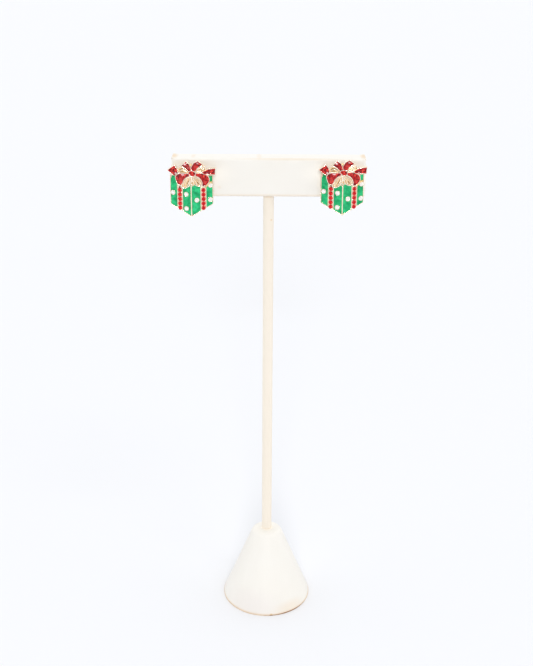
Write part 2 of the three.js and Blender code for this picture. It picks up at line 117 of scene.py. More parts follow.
# Two broad, soft suns: the stronger one from the front, and daylight from high on the right.
for light in SUNS:
    bpy.ops.object.light_add(type="SUN", location=light["from"])
    sun = bpy.context.object
    sun.name = light["name"]
    sun.data.energy = light["strength"]
    sun.data.angle = math.radians(light["spread"])
    sun.rotation_euler = Vector(light["from"]).to_track_quat("Z", "Y").to_euler()

# Small bare lamps add little light, but put the glints on the stones, the enamel and the gold.
for light in GLINT_LAMPS:
    bpy.ops.object.light_add(type="POINT", location=light["place"])
    glint = bpy.context.object
    glint.name = light["name"]
    glint.data.energy = GLINT_POWER
    glint.data.shadow_soft_size = GLINT_RADIUS


def plain_finish(name, color, roughness):
    """A new material with its shader's own colour and roughness set."""
    material = bpy.data.materials.new(name)
    material.use_nodes = True
    shader = material.node_tree.nodes["Principled BSDF"]
    feed(material, shader, {"Base Color": (*color, 1), "Roughness": roughness})
    return material, shader


FLOOR_SIDE = 30
bpy.ops.mesh.primitive_plane_add(size=FLOOR_SIDE)
floor = bpy.context.object
floor.name = "studio_floor"
sweep_paper, _ = plain_finish("sweep_paper", (0.835, 0.84, 0.86), 0.9)
floor.data.materials.append(sweep_paper)

# ---------------------------------------------------------------- cone base
# A turned wooden cone with a weight in it, wrapped in thin off-white leatherette. The wrap is lapped
# up the back, turned in over the top rim and under the foot, and a card disc closes the bottom.

base_low, base_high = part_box("base")
BASE_RADIUS = (base_high.x - base_low.x) / 2
BASE_HEIGHT = base_high.z
SHOULDER_RADIUS = 5.24 * MM
SHOULDER_ROUNDING = 1.5 * MM
FOOT_ROUNDING = 0.5 * MM
SOCKET_RADIUS = 1.9 * MM
SOCKET_DEPTH = 9 * MM
TOUCH = 0.01 * MM  # how near a point is to a plane or line that it lies on
CREAM = (0.88, 0.856, 0.805)
CLOUDED = (0.97, 0.955, 0.93)
HANDLED_TAN = (0.78, 0.55, 0.3)
PAINTED_SHADE_PINK = (0.81, 0.76, 0.725)
# Marks on the wrap, tan unless a mark has its own tone: wear and handling, and painted shade and
# light where noted. Marks on the stand are given in millimetres.
BASE_MARKS = (
    # Painted shade, pinkish, low on the cone's front left and darker towards the foot.
    {"place": (-5, -14, 2), "reach": (16, 14, 10), "strength": 0.6, "tone": PAINTED_SHADE_PINK},
    {"place": (0, 0, 0), "reach": (60, 60, 1.2), "strength": 0.6},
    {"place": (9, -13, 1.2), "reach": (9, 9, 4), "strength": 0.24},
    {"place": (1.9, -16.4, 0.4), "reach": (0.8, 1, 0.6), "strength": 1},
    {"place": (0, 0, 28.6), "reach": (3.1, 3.1, 1.2), "strength": 0.15},
)


def with_marks(material, place, color, tone, marks, unit=MM):
    """Lays soft-edged spots and lines over a colour, in one tone unless a mark has its own."""
    for mark in marks:
        middle = [size * unit for size in mark["place"]]
        reach = [size * unit for size in mark["reach"]]
        centred = {"Vector": place, "Location": middle, "Scale": reach}
        offset = shading(material, "Mapping", "Vector", centred, vector_type="TEXTURE")
        distance = shading(material, "VectorMath", "Value", {0: offset}, operation="LENGTH")
        fade = {"Value": distance, "From Min": 1, "From Max": 0.15, "To Max": mark["strength"]}
        cover = shading(material, "MapRange", "Result", fade, interpolation_type="SMOOTHSTEP")
        layers = {"Factor": cover, "A": color, "B": (*mark.get("tone", tone), 1)}
        color = shading(material, "Mix", "Result", layers, data_type="RGBA")
    return color


def leatherette(name, cream, marks):
    """Fine grained leatherette, marked where it is worn, glued or handled."""
    material, shader = plain_finish(name, cream, 0.55)
    place = shading(material, "TexCoord", "Object")
    clouds = shading(material, "TexNoise", "Fac", {"Vector": place, "Scale": 70, "Detail": 3})
    clouded = [tone * share for tone, share in zip(cream, CLOUDED)]
    layers = {"Factor": clouds, "A": (*cream, 1), "B": (*clouded, 1)}
    color = shading(material, "Mix", "Result", layers, data_type="RGBA")
    pores = {"Vector": place, "Scale": 2100}
    grain = shading(material, "TexVoronoi", "Distance", pores, feature="SMOOTH_F1")
    creases = shading(material, "TexNoise", "Fac", {"Vector": place, "Scale": 450, "Detail": 4})
    height = shading(material, "Math", "Value", {0: creases, 1: 0.6, 2: grain}, operation="MULTIPLY_ADD")
    relief = {"Height": height, "Strength": 0.5, "Distance": 0.03 * MM}
    sheen = {"Value": creases, "To Min": 0.45, "To Max": 0.65}
    surface = {
        "Base Color": with_marks(material, place, color, HANDLED_TAN, marks),
        "Roughness": shading(material, "MapRange", "Result", sheen),
        "Normal": shading(material, "Bump", "Normal", relief),
    }
    feed(material, shader, surface)
    return material


def model_alone(name):
    """Names the primitive just added and opens it in edit mode only to leave nothing selected."""
    piece = bpy.context.object
    piece.name = name
    bpy.ops.object.transform_apply(location=True, rotation=True, scale=True)
    bpy.ops.object.mode_set(mode="EDIT")
    bpy.ops.mesh.select_all(action="DESELECT")
    bpy.ops.object.mode_set(mode="OBJECT")
    return piece


def block(name, middle, size, turn=(0, 0, 0)):
    """Adds a plain block at its size and place, to be shaped."""
    bpy.ops.mesh.primitive_cube_add(size=1, location=middle, rotation=turn, scale=size)
    return model_alone(name)


def rod(name, sides, radius, length, middle=(0, 0, 0), turn=(0, 0, 0)):
    """Adds a plain round rod or disc at its size and place, to be shaped."""
    bpy.ops.mesh.primitive_cylinder_add(
        vertices=sides, radius=radius, depth=length, location=middle, rotation=turn
    )
    return model_alone(name)


def pick(piece, kind, wanted=lambda place: True):
    """Selects the vertices, edges or faces that lie where it is wanted, and leaves edit mode on."""
    bpy.ops.object.mode_set(mode="EDIT")
    bpy.ops.mesh.select_mode(type={"vertices": "VERT", "edges": "EDGE", "polygons": "FACE"}[kind])
    bpy.ops.mesh.select_all(action="DESELECT")
    bpy.ops.object.mode_set(mode="OBJECT")
    corners = piece.data.vertices
    for part in getattr(piece.data, kind):
        if kind == "vertices":
            part.select = wanted(part.co)
        elif kind == "edges":
            part.select = all(wanted(corners[i].co) for i in part.vertices)
        else:
            part.select = wanted(part.center)
    bpy.ops.object.mode_set(mode="EDIT")


def extrude_up(height):
    """Pulls the selected faces up by a height, or pushes them down where it is negative."""
    bpy.ops.mesh.extrude_region_move(TRANSFORM_OT_translate={"value": (0, 0, height)})


def round_edges(piece, radius, segments, wanted=lambda end: True):
    """Rounds the edges with both ends where it is wanted, and leaves edit mode."""
    pick(piece, "edges", wanted)
    bpy.ops.mesh.bevel(offset=radius, segments=segments)
    bpy.ops.object.mode_set(mode="OBJECT")


def cut_across(piece, places, axis):
    """Adds an edge loop round the piece at each place along an axis."""
    pick(piece, "polygons")
    for place in places:
        bpy.ops.mesh.select_all(action="SELECT")
        bpy.ops.mesh.bisect(plane_co=Vector(axis) * place, plane_no=axis)
    bpy.ops.object.mode_set(mode="OBJECT")


def uneven(piece, size, depth):
    """Gives a wrapped surface its slight unevenness."""
    lumps = bpy.data.textures.new(piece.name + "_lumps", "CLOUDS")
    lumps.noise_scale = size
    wrap = piece.modifiers.new("uneven_wrap", "DISPLACE")
    wrap.texture = lumps
    wrap.texture_coords = "LOCAL"
    wrap.strength = depth
    wrap.mid_level = 0.5
    bpy.ops.object.modifier_apply(modifier=wrap.name)


def finished(piece, material, smooth_below=40):
    """Shades a piece smooth below an angle and gives it its material."""
    bpy.ops.object.select_all(action="DESELECT")
    piece.select_set(True)
    bpy.context.view_layer.objects.active = piece
    bpy.ops.object.shade_smooth_by_angle(angle=math.radians(smooth_below))
    piece.data.materials.clear()
    piece.data.materials.append(material)
    return piece


def on_stand(piece, material, smooth_below=40):
    """Finishes a piece of the stand, which is all one body."""
    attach(finished(piece, material, smooth_below), "root")


def on_shoulder(end):
    """Whether a point lies on the sharp outer rim of the cone's top."""
    return end.z > BASE_HEIGHT - TOUCH and end.xy.length > SHOULDER_RADIUS - TOUCH


bpy.ops.object.select_all(action="DESELECT")
bpy.ops.mesh.primitive_cone_add(
    vertices=96,
    radius1=BASE_RADIUS,
    radius2=SHOULDER_RADIUS,
    depth=BASE_HEIGHT,
    location=(0, 0, BASE_HEIGHT / 2),
)
cone = model_alone("base_wrap")
pick(cone, "polygons", lambda middle: middle.z > BASE_HEIGHT - TOUCH)
bpy.ops.mesh.inset(thickness=SHOULDER_RADIUS - SOCKET_RADIUS)
extrude_up(-SOCKET_DEPTH)
round_edges(cone, SHOULDER_ROUNDING, 6, on_shoulder)
round_edges(cone, FOOT_ROUNDING, 4, lambda end: end.z < TOUCH)
cut_across(cone, [(2 + 2.4 * step) * MM for step in range(10)], (0, 0, 1))
uneven(cone, 7 * MM, 0.12 * MM)
base_leatherette = leatherette("base_leatherette", CREAM, BASE_MARKS)
on_stand(cone, base_leatherette)
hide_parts("base")

# The lap of the wrap: its free edge, glued down from foot to rim at the back.
LAP_WIDTH = 2.6 * MM
LAP_THICKNESS = 0.24 * MM
LAP_ROUNDING = 0.09 * MM
cone_side = math.hypot(BASE_RADIUS - SHOULDER_RADIUS, BASE_HEIGHT)
cone_lean = math.atan((BASE_RADIUS - SHOULDER_RADIUS) / BASE_HEIGHT)
cone_lap = block(
    "base_lap",
    (0, (BASE_RADIUS + SHOULDER_RADIUS) / 2, BASE_HEIGHT / 2),
    (LAP_WIDTH, LAP_THICKNESS, cone_side - 3 * MM),
    (cone_lean, 0, 0),
)
round_edges(cone_lap, LAP_ROUNDING, 3)
on_stand(cone_lap, base_leatherette)

# The card disc under the foot, whose cut edge shows as a thin line, soiled brown at the front right
# and chipped near the middle.
CARD_RADIUS = BASE_RADIUS - 0.12 * MM
CARD_THICKNESS = 0.4 * MM
CARD_ROUNDING = 0.06 * MM
CARD_BROWN = (0.5, 0.32, 0.17)
FIBRES = {0: (0.62, 0.45, 0.3), 1: (0.8, 0.66, 0.5)}
SOILED_BROWN = (0.3, 0.15, 0.06)
CARD_MARKS = (
    {"place": (9, -14, 0), "reach": (13, 9, 5), "strength": 0.95},
    {"place": (1.9, -16.4, 0), "reach": (0.9, 1, 5), "strength": 1},
)


def toned(material, amount, tones):
    """A colour that runs through tones, each given at its amount, as the amount grows."""
    ramp = material.node_tree.nodes.new("ShaderNodeValToRGB")
    feed(material, ramp, {"Fac": amount})
    steps = ramp.color_ramp.elements
    if len(tones) > 2:
        steps.new(0.5)
    for step, (position, tone) in zip(steps, tones.items()):
        step.position = position
        step.color = (*tone, 1)
    return ramp.outputs["Color"]


def mottled(name, color, roughness, tones, pattern, soiled=None, marks=()):
    """A finish mottled through tones by a fine cloudy pattern, and marked where it is soiled."""
    material, shader = plain_finish(name, color, roughness)
    place = shading(material, "TexCoord", "Object")
    clouds = shading(material, "TexNoise", "Fac", {"Vector": place, **pattern})
    color = with_marks(material, place, toned(material, clouds, tones), soiled, marks)
    feed(material, shader, {"Base Color": color})
    return material, shader, clouds


card = rod("base_card", 96, CARD_RADIUS, CARD_THICKNESS, (0, 0, CARD_THICKNESS / 2))
round_edges(card, CARD_ROUNDING, 2, lambda end: end.z > CARD_THICKNESS - TOUCH)
card_board = mottled("card_board", CARD_BROWN, 0.8, FIBRES, {"Scale": 900}, SOILED_BROWN, CARD_MARKS)[0]
on_stand(card, card_board)

# ---------------------------------------------------------------- stem
# A stiff wire rod sleeved in the same leatherette, with its seam at the back. It is glued into the
# cone below and into the bar above. Under the bar an amber ring and a tan band on the stem are partly
# glue and partly painted shade and warm reflected light in the joint.

stem_low, stem_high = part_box("stem")
bar_low, bar_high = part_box("crossbar")
STEM_RADIUS = (stem_high.x - stem_low.x) / 2
STEM_CREAM = (0.893, 0.82, 0.713)
STEM_MARKS = (
    {"place": (1, -1.6, 150.2), "reach": (0.45, 0.5, 0.5), "strength": 0.75},
    # Painted shade and warm reflected light on the stem, just under the bar.
    {"place": (0, 0, bar_low.z / MM), "reach": (5, 5, 1.3), "strength": 0.5},
    {"place": (0, 0, BASE_HEIGHT / MM), "reach": (5, 5, 1.4), "strength": 0.15},
)
SEAM_WIDTH = 1.1 * MM
SEAM_THICKNESS = 0.22 * MM
SEAM_ROUNDING = 0.08 * MM

stem_middle = (0, 0, (stem_low.z + stem_high.z) / 2)
stem = rod("stem_wrap", 48, STEM_RADIUS, stem_high.z - stem_low.z, stem_middle)
cut_across(stem, [stem_low.z + 3 * MM * step for step in range(1, 47)], (0, 0, 1))
uneven(stem, 5 * MM, 0.1 * MM)
stem_leatherette = leatherette("stem_leatherette", STEM_CREAM, STEM_MARKS)
on_stand(stem, stem_leatherette)
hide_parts("stem")

stem_seam = block(
    "stem_seam",
    (0, STEM_RADIUS + 0.02 * MM, (BASE_HEIGHT + bar_low.z) / 2),
    (SEAM_WIDTH, SEAM_THICKNESS, bar_low.z - BASE_HEIGHT - 0.3 * MM),
)
round_edges(stem_seam, SEAM_ROUNDING, 3)
on_stand(stem_seam, stem_leatherette)

AMBER_GLUE_AND_PAINTED_SHADE = {0: (0.6, 0.3, 0.09), 1: (0.86, 0.62, 0.33)}
MILKY_GLUE = {0: (0.9, 0.83, 0.71), 1: (0.93, 0.89, 0.81)}
GLUE_BEADS = (
    # Its amber colour is partly glue and partly painted shade and warm reflected light under the bar.
    {"name": "glue_under_bar", "height": bar_low.z, "radius": 0.3 * MM, "tones": AMBER_GLUE_AND_PAINTED_SHADE},
    {"name": "glue_in_base", "height": BASE_HEIGHT, "radius": 0.32 * MM, "tones": MILKY_GLUE},
)
for bead in GLUE_BEADS:
    bpy.ops.mesh.primitive_torus_add(
        major_segments=48,
        minor_segments=10,
        major_radius=STEM_RADIUS + 0.12 * MM,
        minor_radius=bead["radius"],
        location=(0, 0, bead["height"] - 0.04 * MM),
    )
    bead_of_glue = model_alone(bead["name"])
    uneven(bead_of_glue, 1.2 * MM, 0.12 * MM)
    glue = mottled(bead["name"], bead["tones"][1], 0.3, bead["tones"], {"Scale": 700})[0]
    on_stand(bead_of_glue, glue, 180)

# ---------------------------------------------------------------- crossbar
# A padded wooden bar wrapped like a parcel: one sheet round it, lapped low at the back, its ends
# folded in as triangles and pressed flat. The fold corners stand up a little and have worn tan. Behind
# the studs the wrap is painted paler, a painted light over the soft shade that the bows cast there.

BAR_EDGE = 0.8 * MM
BAR_MIDDLE = (bar_low + bar_high) / 2
BAR_SIZE = bar_high - bar_low
POST_HOLE_RADIUS = 0.8 * MM
PAINTED_LIGHT_CREAM = (1, 0.965, 0.89)
bar_top = bar_high.z / MM
bar_foot = bar_low.z / MM
BAR_MARKS = (
    {"place": (-31.2, 0, bar_top), "reach": (1.7, 5, 1.7), "strength": 0.62},
    {"place": (31.2, 0, bar_top), "reach": (1.5, 5, 1.7), "strength": 0.62},
    {"place": (-24.8, 0, bar_top), "reach": (1.1, 4, 0.9), "strength": 0.25},
    {"place": (-3.2, 0, bar_top), "reach": (1.3, 6, 0.9), "strength": 0.2},
    {"place": (8, -3.6, bar_top), "reach": (26, 1.4, 0.9), "strength": 0.28},
    # Darker tan along the bar's lower front edge.
    {"place": (0, -3.9, bar_foot + 0.5), "reach": (60, 2, 0.7), "strength": 0.26},
    # Painted warm reflection of the gold, beside the left stud.
    {"place": (-16.2, -3.9, 161.9), "reach": (0.9, 1, 0.8), "strength": 0.18},
    # Painted light: the wrap made paler behind each stud, over the shade that the bow casts on it.
    {"place": (-25.2, -3.9, 166.5), "reach": (16, 3, 6.6), "strength": 0.8, "tone": PAINTED_LIGHT_CREAM},
    {"place": (24.1, -3.9, 166.5), "reach": (16, 3, 6.6), "strength": 0.8, "tone": PAINTED_LIGHT_CREAM},
)

bar = block("crossbar_wrap", BAR_MIDDLE, BAR_SIZE)
round_edges(bar, BAR_EDGE, 5)
for side in ("left", "right"):
    clutch_low, clutch_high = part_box(f"{side}_clutch")
    through = ((clutch_low.x + clutch_high.x) / 2, 0, (clutch_low.z + clutch_high.z) / 2)
    awl = rod("awl", 24, POST_HOLE_RADIUS, BAR_SIZE.y * 1.5, through, (math.pi / 2, 0, 0))
    hole = bar.modifiers.new("post_hole", "BOOLEAN")
    hole.object = awl
    hole.solver = "EXACT"
    bpy.context.view_layer.objects.active = bar
    bpy.ops.object.modifier_apply(modifier=hole.name)
    bpy.data.objects.remove(awl)
cut_across(bar, [4 * MM * step for step in range(-7, 8)], (1, 0, 0))
cut_across(bar, [bar_low.z + 2.1 * MM * step for step in range(1, 6)], (0, 0, 1))
uneven(bar, 9 * MM, 0.1 * MM)
bar_leatherette = leatherette("crossbar_leatherette", CREAM, BAR_MARKS)
on_stand(bar, bar_leatherette, 30)
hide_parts("crossbar")

# The folded ends: two flat triangles on each, and a thick corner of the wrap at the top.
FOLD_SIZE = (BAR_SIZE.z * 0.42, BAR_SIZE.y * 0.27, 0.34 * MM)
FOLD_PLACE = BAR_SIZE.y * 0.29
FOLD_ROUNDING = 0.12 * MM
CORNER_SIZE = (1.7 * MM, BAR_SIZE.y * 0.9, 0.75 * MM)
CORNER_TILT = math.radians(-9)
CORNER_ROUNDING = 0.26 * MM
for name, end_x in (("left", bar_low.x), ("right", bar_high.x)):
    outwards = math.copysign(1, end_x)
    for face, back_to_front in (("front", -1), ("back", 1)):
        bpy.ops.mesh.primitive_cylinder_add(
            vertices=3,
            radius=1,
            depth=1,
            location=(end_x, back_to_front * FOLD_PLACE, BAR_MIDDLE.z),
            rotation=(0, math.pi / 2, 0 if back_to_front < 0 else math.pi),
        )
        bpy.context.object.scale = FOLD_SIZE
        fold = model_alone(f"crossbar_{name}_{face}_fold")
        round_edges(fold, FOLD_ROUNDING, 3)
        on_stand(fold, bar_leatherette)
    corner = block(
        f"crossbar_{name}_fold_corner",
        (end_x - outwards * 0.75 * MM, 0, bar_high.z - 0.28 * MM),
        CORNER_SIZE,
        (0, outwards * CORNER_TILT, 0),
    )
    round_edges(corner, CORNER_ROUNDING, 4)
    uneven(corner, 1.5 * MM, 0.16 * MM)
    on_stand(corner, bar_leatherette)

BAR_LAP_HEIGHT = 4.6 * MM
bar_lap = block(
    "crossbar_lap",
    (0, bar_high.y + 0.03 * MM, bar_low.z + BAR_LAP_HEIGHT / 2 + BAR_EDGE),
    (BAR_SIZE.x - 3 * BAR_EDGE, SEAM_THICKNESS, BAR_LAP_HEIGHT),
)
round_edges(bar_lap, SEAM_ROUNDING, 3)
on_stand(bar_lap, bar_leatherette)

# ---------------------------------------------------------------- earring: the cast box
# Each stud is one gold-plated casting, soldered together. Its box is a plate folded along the front
# ridge, open behind. Every piece of a stud is made once, upright with its lowest tip at the origin,
# and a copy of it is then hung from each of the two posts.

BAR_FRONT = bar_low.y
BACK_GAP = 0.15 * MM
POST_HEIGHT = 10.2 * MM
ROLL = {"left": math.radians(0.2), "right": math.radians(-0.45)}
BOW_SETS = {
    "left": {"across": 0.05, "up": 0.09, "turn": -0.3},
    "right": {"across": -0.28, "up": -0.1, "turn": -0.8},
}
KNOT = Vector((0.24 * MM, 0, 14.45 * MM))

BOX_HALF = 7.02 * MM
BOX_TOP = 13.5 * MM
BOX_ROUNDING = 0.1 * MM
SIDE_FOOT = 3.75 * MM
RIDGE_DEPTH = 3.7 * MM
EDGE_DEPTH = 1.3 * MM
FACE_SLOPE = (RIDGE_DEPTH - EDGE_DEPTH) / BOX_HALF
FACE_TURN = math.atan(FACE_SLOPE)


def pin_to_bar(piece, slot, *parts, on_bow=False):
    """Hangs a copy of a finished piece from each post, in place of the solids of those parts."""
    for side in ("left", "right"):
        clutch_low, clutch_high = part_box(f"{side}_clutch")
        post = (clutch_low + clutch_high) / 2
        post.y = BAR_FRONT - BACK_GAP
        hung = piece.copy()
        hung.data = piece.data.copy()
        hung.name = f"{side}_{piece.name}"
        bpy.context.collection.objects.link(hung)
        onto_post = Matrix.Translation(post) @ Matrix.Rotation(ROLL[side], 4, "Y")
        onto_post @= Matrix.Translation((0, 0, -POST_HEIGHT))
        if on_bow:
            bow = BOW_SETS[side]
            onto_post @= Matrix.Translation(KNOT + Vector((bow["across"] * MM, 0, bow["up"] * MM)))
            onto_post @= Matrix.Rotation(math.radians(bow["turn"]), 4, "Y") @ Matrix.Translation(-KNOT)
        hung.data.transform(onto_post)
        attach(hung, "root")
        if parts:
            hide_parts(*(f"{side}_{part}" for part in parts))
    bpy.data.objects.remove(piece)


def face_front(x):
    """How far the box's face stands forward at a distance from the ridge."""
    return RIDGE_DEPTH - FACE_SLOPE * abs(x)


def gold_finish(name, bright, deep, roughness):
    """Gold plate with the faint ripple and tone changes of a cast surface."""
    tones = {0.35: deep, 0.6: bright}
    material, shader, ripple = mottled(name, bright, roughness, tones, {"Scale": 1300, "Detail": 3})
    relief = {"Height": ripple, "Strength": 0.35, "Distance": 0.03 * MM}
    polish = {"Value": ripple, "To Min": roughness * 0.7, "To Max": roughness * 1.5}
    surface = {
        "Metallic": 1,
        "Roughness": shading(material, "MapRange", "Result", polish),
        "Normal": shading(material, "Bump", "Normal", relief),
    }
    feed(material, shader, surface)
    return material


def shift(piece, move, wanted=lambda corner: True):
    """Moves the corners that lie where it is wanted, and leaves edit mode on."""
    pick(piece, "vertices", wanted)
    bpy.ops.transform.translate(value=move)


gold_plate = gold_finish("gold_plate", (1, 0.88, 0.71), (0.96, 0.77, 0.56), 0.18)

box = block(
    "casting_box",
    (0, -EDGE_DEPTH / 2, (BOX_TOP + SIDE_FOOT) / 2),
    (2 * BOX_HALF, EDGE_DEPTH, BOX_TOP - SIDE_FOOT),
)
cut_across(box, [0], (1, 0, 0))
shift(box, (0, EDGE_DEPTH - RIDGE_DEPTH, 0), lambda corner: abs(corner.x) < TOUCH)
shift(box, (0, 0, -SIDE_FOOT), lambda corner: abs(corner.x) < TOUCH and corner.z < SIDE_FOOT + TOUCH)
round_edges(box, BOX_ROUNDING, 2)
pin_to_bar(finished(box, gold_plate), "gold", "casting")

# ---------------------------------------------------------------- earring: gold borders
# Fine half-round wires stand up along the box's edges, its ridge and both sides of the stone
# columns. They hold the enamel, and their tops are polished by wear.

BORDER = 0.15 * MM
BORDER_TOP = 13.3 * MM
RIDGE_WIRE = 0.2 * MM
RIDGE_TOP = 10 * MM
COLUMN_CENTRES = (-3.74 * MM, 3.88 * MM)
COLUMN_HALF = 0.86 * MM
COLUMN_WIRE = 0.12 * MM
COLUMN_TOP = 10.6 * MM
TOP_PANEL_SIDE = 5.64 * MM
TOP_PANEL_FOOT = 10.9 * MM


def drawn(name, places, steps, settings, closed=False):
    """A mesh drawn as a curve through places: steps to each bend, or straight where there are none."""
    bpy.ops.object.select_all(action="DESELECT")
    if closed:
        bpy.ops.curve.primitive_bezier_circle_add()
    else:
        bpy.ops.curve.primitive_bezier_curve_add()
    curve = bpy.context.object
    curve.name = name
    for setting, value in settings.items():
        setattr(curve.data, setting, value)
    run = curve.data.splines[0]
    run.bezier_points.add(len(places) - len(run.bezier_points))
    for bend, place in zip(run.bezier_points, places):
        bend.co = place
        bend.handle_left_type = bend.handle_right_type = "AUTO" if steps else "VECTOR"
    run.resolution_u = max(steps, 1)
    curve.data.bevel_resolution = 3
    bpy.ops.object.convert(target="MESH")
    return bpy.context.object


def gold_wire(name, points, thickness, steps=0):
    """A round wire through points (across, depth, up), as one closed mesh."""
    places = [(across, -depth, up) for across, depth, up in points]
    round_wire = {"dimensions": "3D", "bevel_depth": thickness, "use_fill_caps": True}
    return drawn(name, places, steps, round_wire)


def joined(name, pieces):
    """Joins like pieces into one mesh."""
    bpy.ops.object.select_all(action="DESELECT")
    for piece in pieces:
        piece.select_set(True)
    bpy.context.view_layer.objects.active = pieces[0]
    bpy.ops.object.join()
    pieces[0].name = name
    return pieces[0]


def on_face(x, z):
    """A point on the front of the box, as (across, depth, up)."""
    return (x, face_front(x), z)


def foot(x):
    """The height of the box's lower edge at a distance from the ridge."""
    return SIDE_FOOT * abs(x) / BOX_HALF


edge_x = BOX_HALF - BORDER * 0.8
rim_walk = [
    on_face(-edge_x, BORDER_TOP),
    on_face(-edge_x, foot(edge_x) + BORDER),
    on_face(0, BORDER),
    on_face(edge_x, foot(edge_x) + BORDER),
    on_face(edge_x, BORDER_TOP),
]
ridge = [on_face(0, BORDER), on_face(0, RIDGE_TOP)]
top_panel = [on_face(TOP_PANEL_SIDE, TOP_PANEL_FOOT), on_face(TOP_PANEL_SIDE, BORDER_TOP)]
borders = [gold_wire("border_edge", rim_walk, BORDER), gold_wire("border_ridge", ridge, RIDGE_WIRE)]
for centre in COLUMN_CENTRES:
    for x in (centre - COLUMN_HALF, centre + COLUMN_HALF):
        upright = [on_face(x, foot(x) + BORDER), on_face(x, COLUMN_TOP)]
        borders.append(gold_wire("border_column", upright, COLUMN_WIRE))
borders.append(gold_wire("border_top_panel", top_panel, COLUMN_WIRE))
pin_to_bar(finished(joined("borders", borders), gold_plate, 60), "gold")

# ---------------------------------------------------------------- earring: green enamel
# Glossy green enamel, poured between the borders and fired a little proud in the middle of each
# panel. The bow covers the tops of four panels, and a small fifth shows above the right-hand stone.

PANELS = (
    {"part": "left_outer", "outer": -6.84, "inner": -4.6, "top": 13.3, "corner": 1.3},
    {"part": "left_inner", "outer": -2.9, "inner": -0.12, "top": 11.4},
    {"part": "right_inner", "outer": 3.02, "inner": 0.12, "top": 11.4},
    {"part": "right_outer", "outer": 6.84, "inner": 4.74, "top": 10.95},
    {"part": "right_top", "outer": 6.84, "inner": 5.64, "top": 13.2, "bottom": 11.05},
)
ENAMEL_DEPTH = 0.34 * MM
ENAMEL_SWELL = 0.07 * MM
ENAMEL_GAP = 0.1 * MM
FLAT_RIM = {"sides": 0.2 * MM, "foot": 0.3 * MM}
GREEN = (0.02, 0.44, 0.16)
GREEN_TONES = {0.34: (0.008, 0.29, 0.1), 0.62: (0.035, 0.6, 0.23)}

green_enamel, green_shader, green_clouds = mottled(
    "green_enamel", GREEN, 0.12, GREEN_TONES, {"Scale": 520, "Detail": 3, "Roughness": 0.62}
)
green_relief = {"Height": green_clouds, "Strength": 0.3, "Distance": 0.02 * MM}
green_bump = shading(green_enamel, "Bump", "Normal", green_relief)
feed(green_enamel, green_shader, {"Specular IOR Level": 0.16, "Normal": green_bump})

for panel in PANELS:
    outer, inner, top = (panel[key] * MM for key in ("outer", "inner", "top"))
    low_outer = panel["bottom"] * MM if "bottom" in panel else foot(outer) + ENAMEL_GAP
    low_inner = panel["bottom"] * MM if "bottom" in panel else foot(inner) + ENAMEL_GAP
    enamel = block(
        "green_" + panel["part"],
        ((outer + inner) / 2, 0, (top + low_inner) / 2),
        (abs(outer - inner), ENAMEL_DEPTH, top - low_inner),
    )
    for side_x in (outer, inner):
        shift(enamel, (0, -face_front(side_x), 0), lambda corner: abs(corner.x - side_x) < TOUCH)
    shift(
        enamel,
        (0, 0, low_outer - low_inner),
        lambda corner: abs(corner.x - outer) < TOUCH and abs(corner.z - low_inner) < TOUCH,
    )
    shift(enamel, (0, ENAMEL_DEPTH / 2, 0))
    bpy.ops.mesh.subdivide(number_cuts=7)
    left, right = min(outer, inner) + FLAT_RIM["sides"], max(outer, inner) - FLAT_RIM["sides"]
    low, high = low_inner + FLAT_RIM["foot"], top - FLAT_RIM["sides"]
    shift(
        enamel,
        (0, -ENAMEL_SWELL, 0),
        lambda corner: corner.y < TOUCH - face_front(corner.x)
        and left < corner.x < right
        and low < corner.z < high,
    )
    if "corner" in panel:
        bpy.ops.mesh.select_all(action="SELECT")
        bpy.ops.mesh.bisect(
            plane_co=(outer, 0, top - panel["corner"] * MM),
            plane_no=(-1, 0, 0.5),
            clear_outer=True,
            use_fill=True,
        )
    bpy.ops.object.mode_set(mode="OBJECT")
    pin_to_bar(finished(enamel, green_enamel, 60), "green_enamel", "green_" + panel["part"])

# ---------------------------------------------------------------- earring: columns of red stones
# Round red glass stones with foiled backs, pressed edge to edge into a raised gold strip on each
# face. Small beads of metal, called grains, hold them in. Above the left column a small dark stone
# is painted shadow, filling the shaded gap under the tip of the bow.

STONE_SIDES = 16
TABLE_SHARE = 0.56
CROWN_HEIGHT = 0.3 * MM
PAVILION_DEPTH = 0.34 * MM
RED_RADIUS = 0.744 * MM
RED_TOP = 8.66 * MM
RED_PITCH = 1.488 * MM
RED_ROWS = 5
RED_LIFT = 0.12 * MM
# How fast a facet's painted sparkle changes as it turns about each axis.
PAINTED_SPARKLE_TURNS = (9.1, 3.7, 11.3)
STRIP_HALF = 0.75 * MM
STRIP_DEPTH = 0.5 * MM
STRIP_TOP = 10.4 * MM
STRIP_ROUNDING = 0.06 * MM
STRIP_SUNK = 0.17 * MM
GRAIN_RADIUS = 0.17 * MM
GRAIN_LIFT = 0.16 * MM
GRAIN_ACROSS = 0.56 * MM


def glass_with_painted_sparkle(name, dark, middle, bright, roughness):
    """Glass over foil with painted sparkle: each facet's tone is set by the way it is turned, for the
    light it would throw back.
    """
    material, shader = plain_finish(name, middle, roughness)
    facet = shading(material, "NewGeometry", "True Normal")
    turned = shading(material, "VectorMath", "Value", {0: facet, 1: PAINTED_SPARKLE_TURNS}, operation="DOT_PRODUCT")
    flash = shading(material, "Math", "Value", {0: turned}, operation="SINE")
    spread = shading(material, "MapRange", "Result", {"Value": flash, "From Min": -1})
    glow = toned(material, spread, {0: dark, 0.45: middle, 1: bright})
    feed(material, shader, {"Specular IOR Level": 0.16, "Base Color": glow})
    return material


def square_on_face(piece, x, z, lift):
    """Turns a piece made facing up to stand square on the box's face, at a height above it."""
    upright = Matrix.Rotation(math.pi / 2, 4, "X")
    along_face = Matrix.Rotation(math.copysign(FACE_TURN, x), 4, "Z")
    at_place = Matrix.Translation((x, -face_front(x), z))
    piece.data.transform(at_place @ along_face @ upright @ Matrix.Translation((0, 0, lift)))


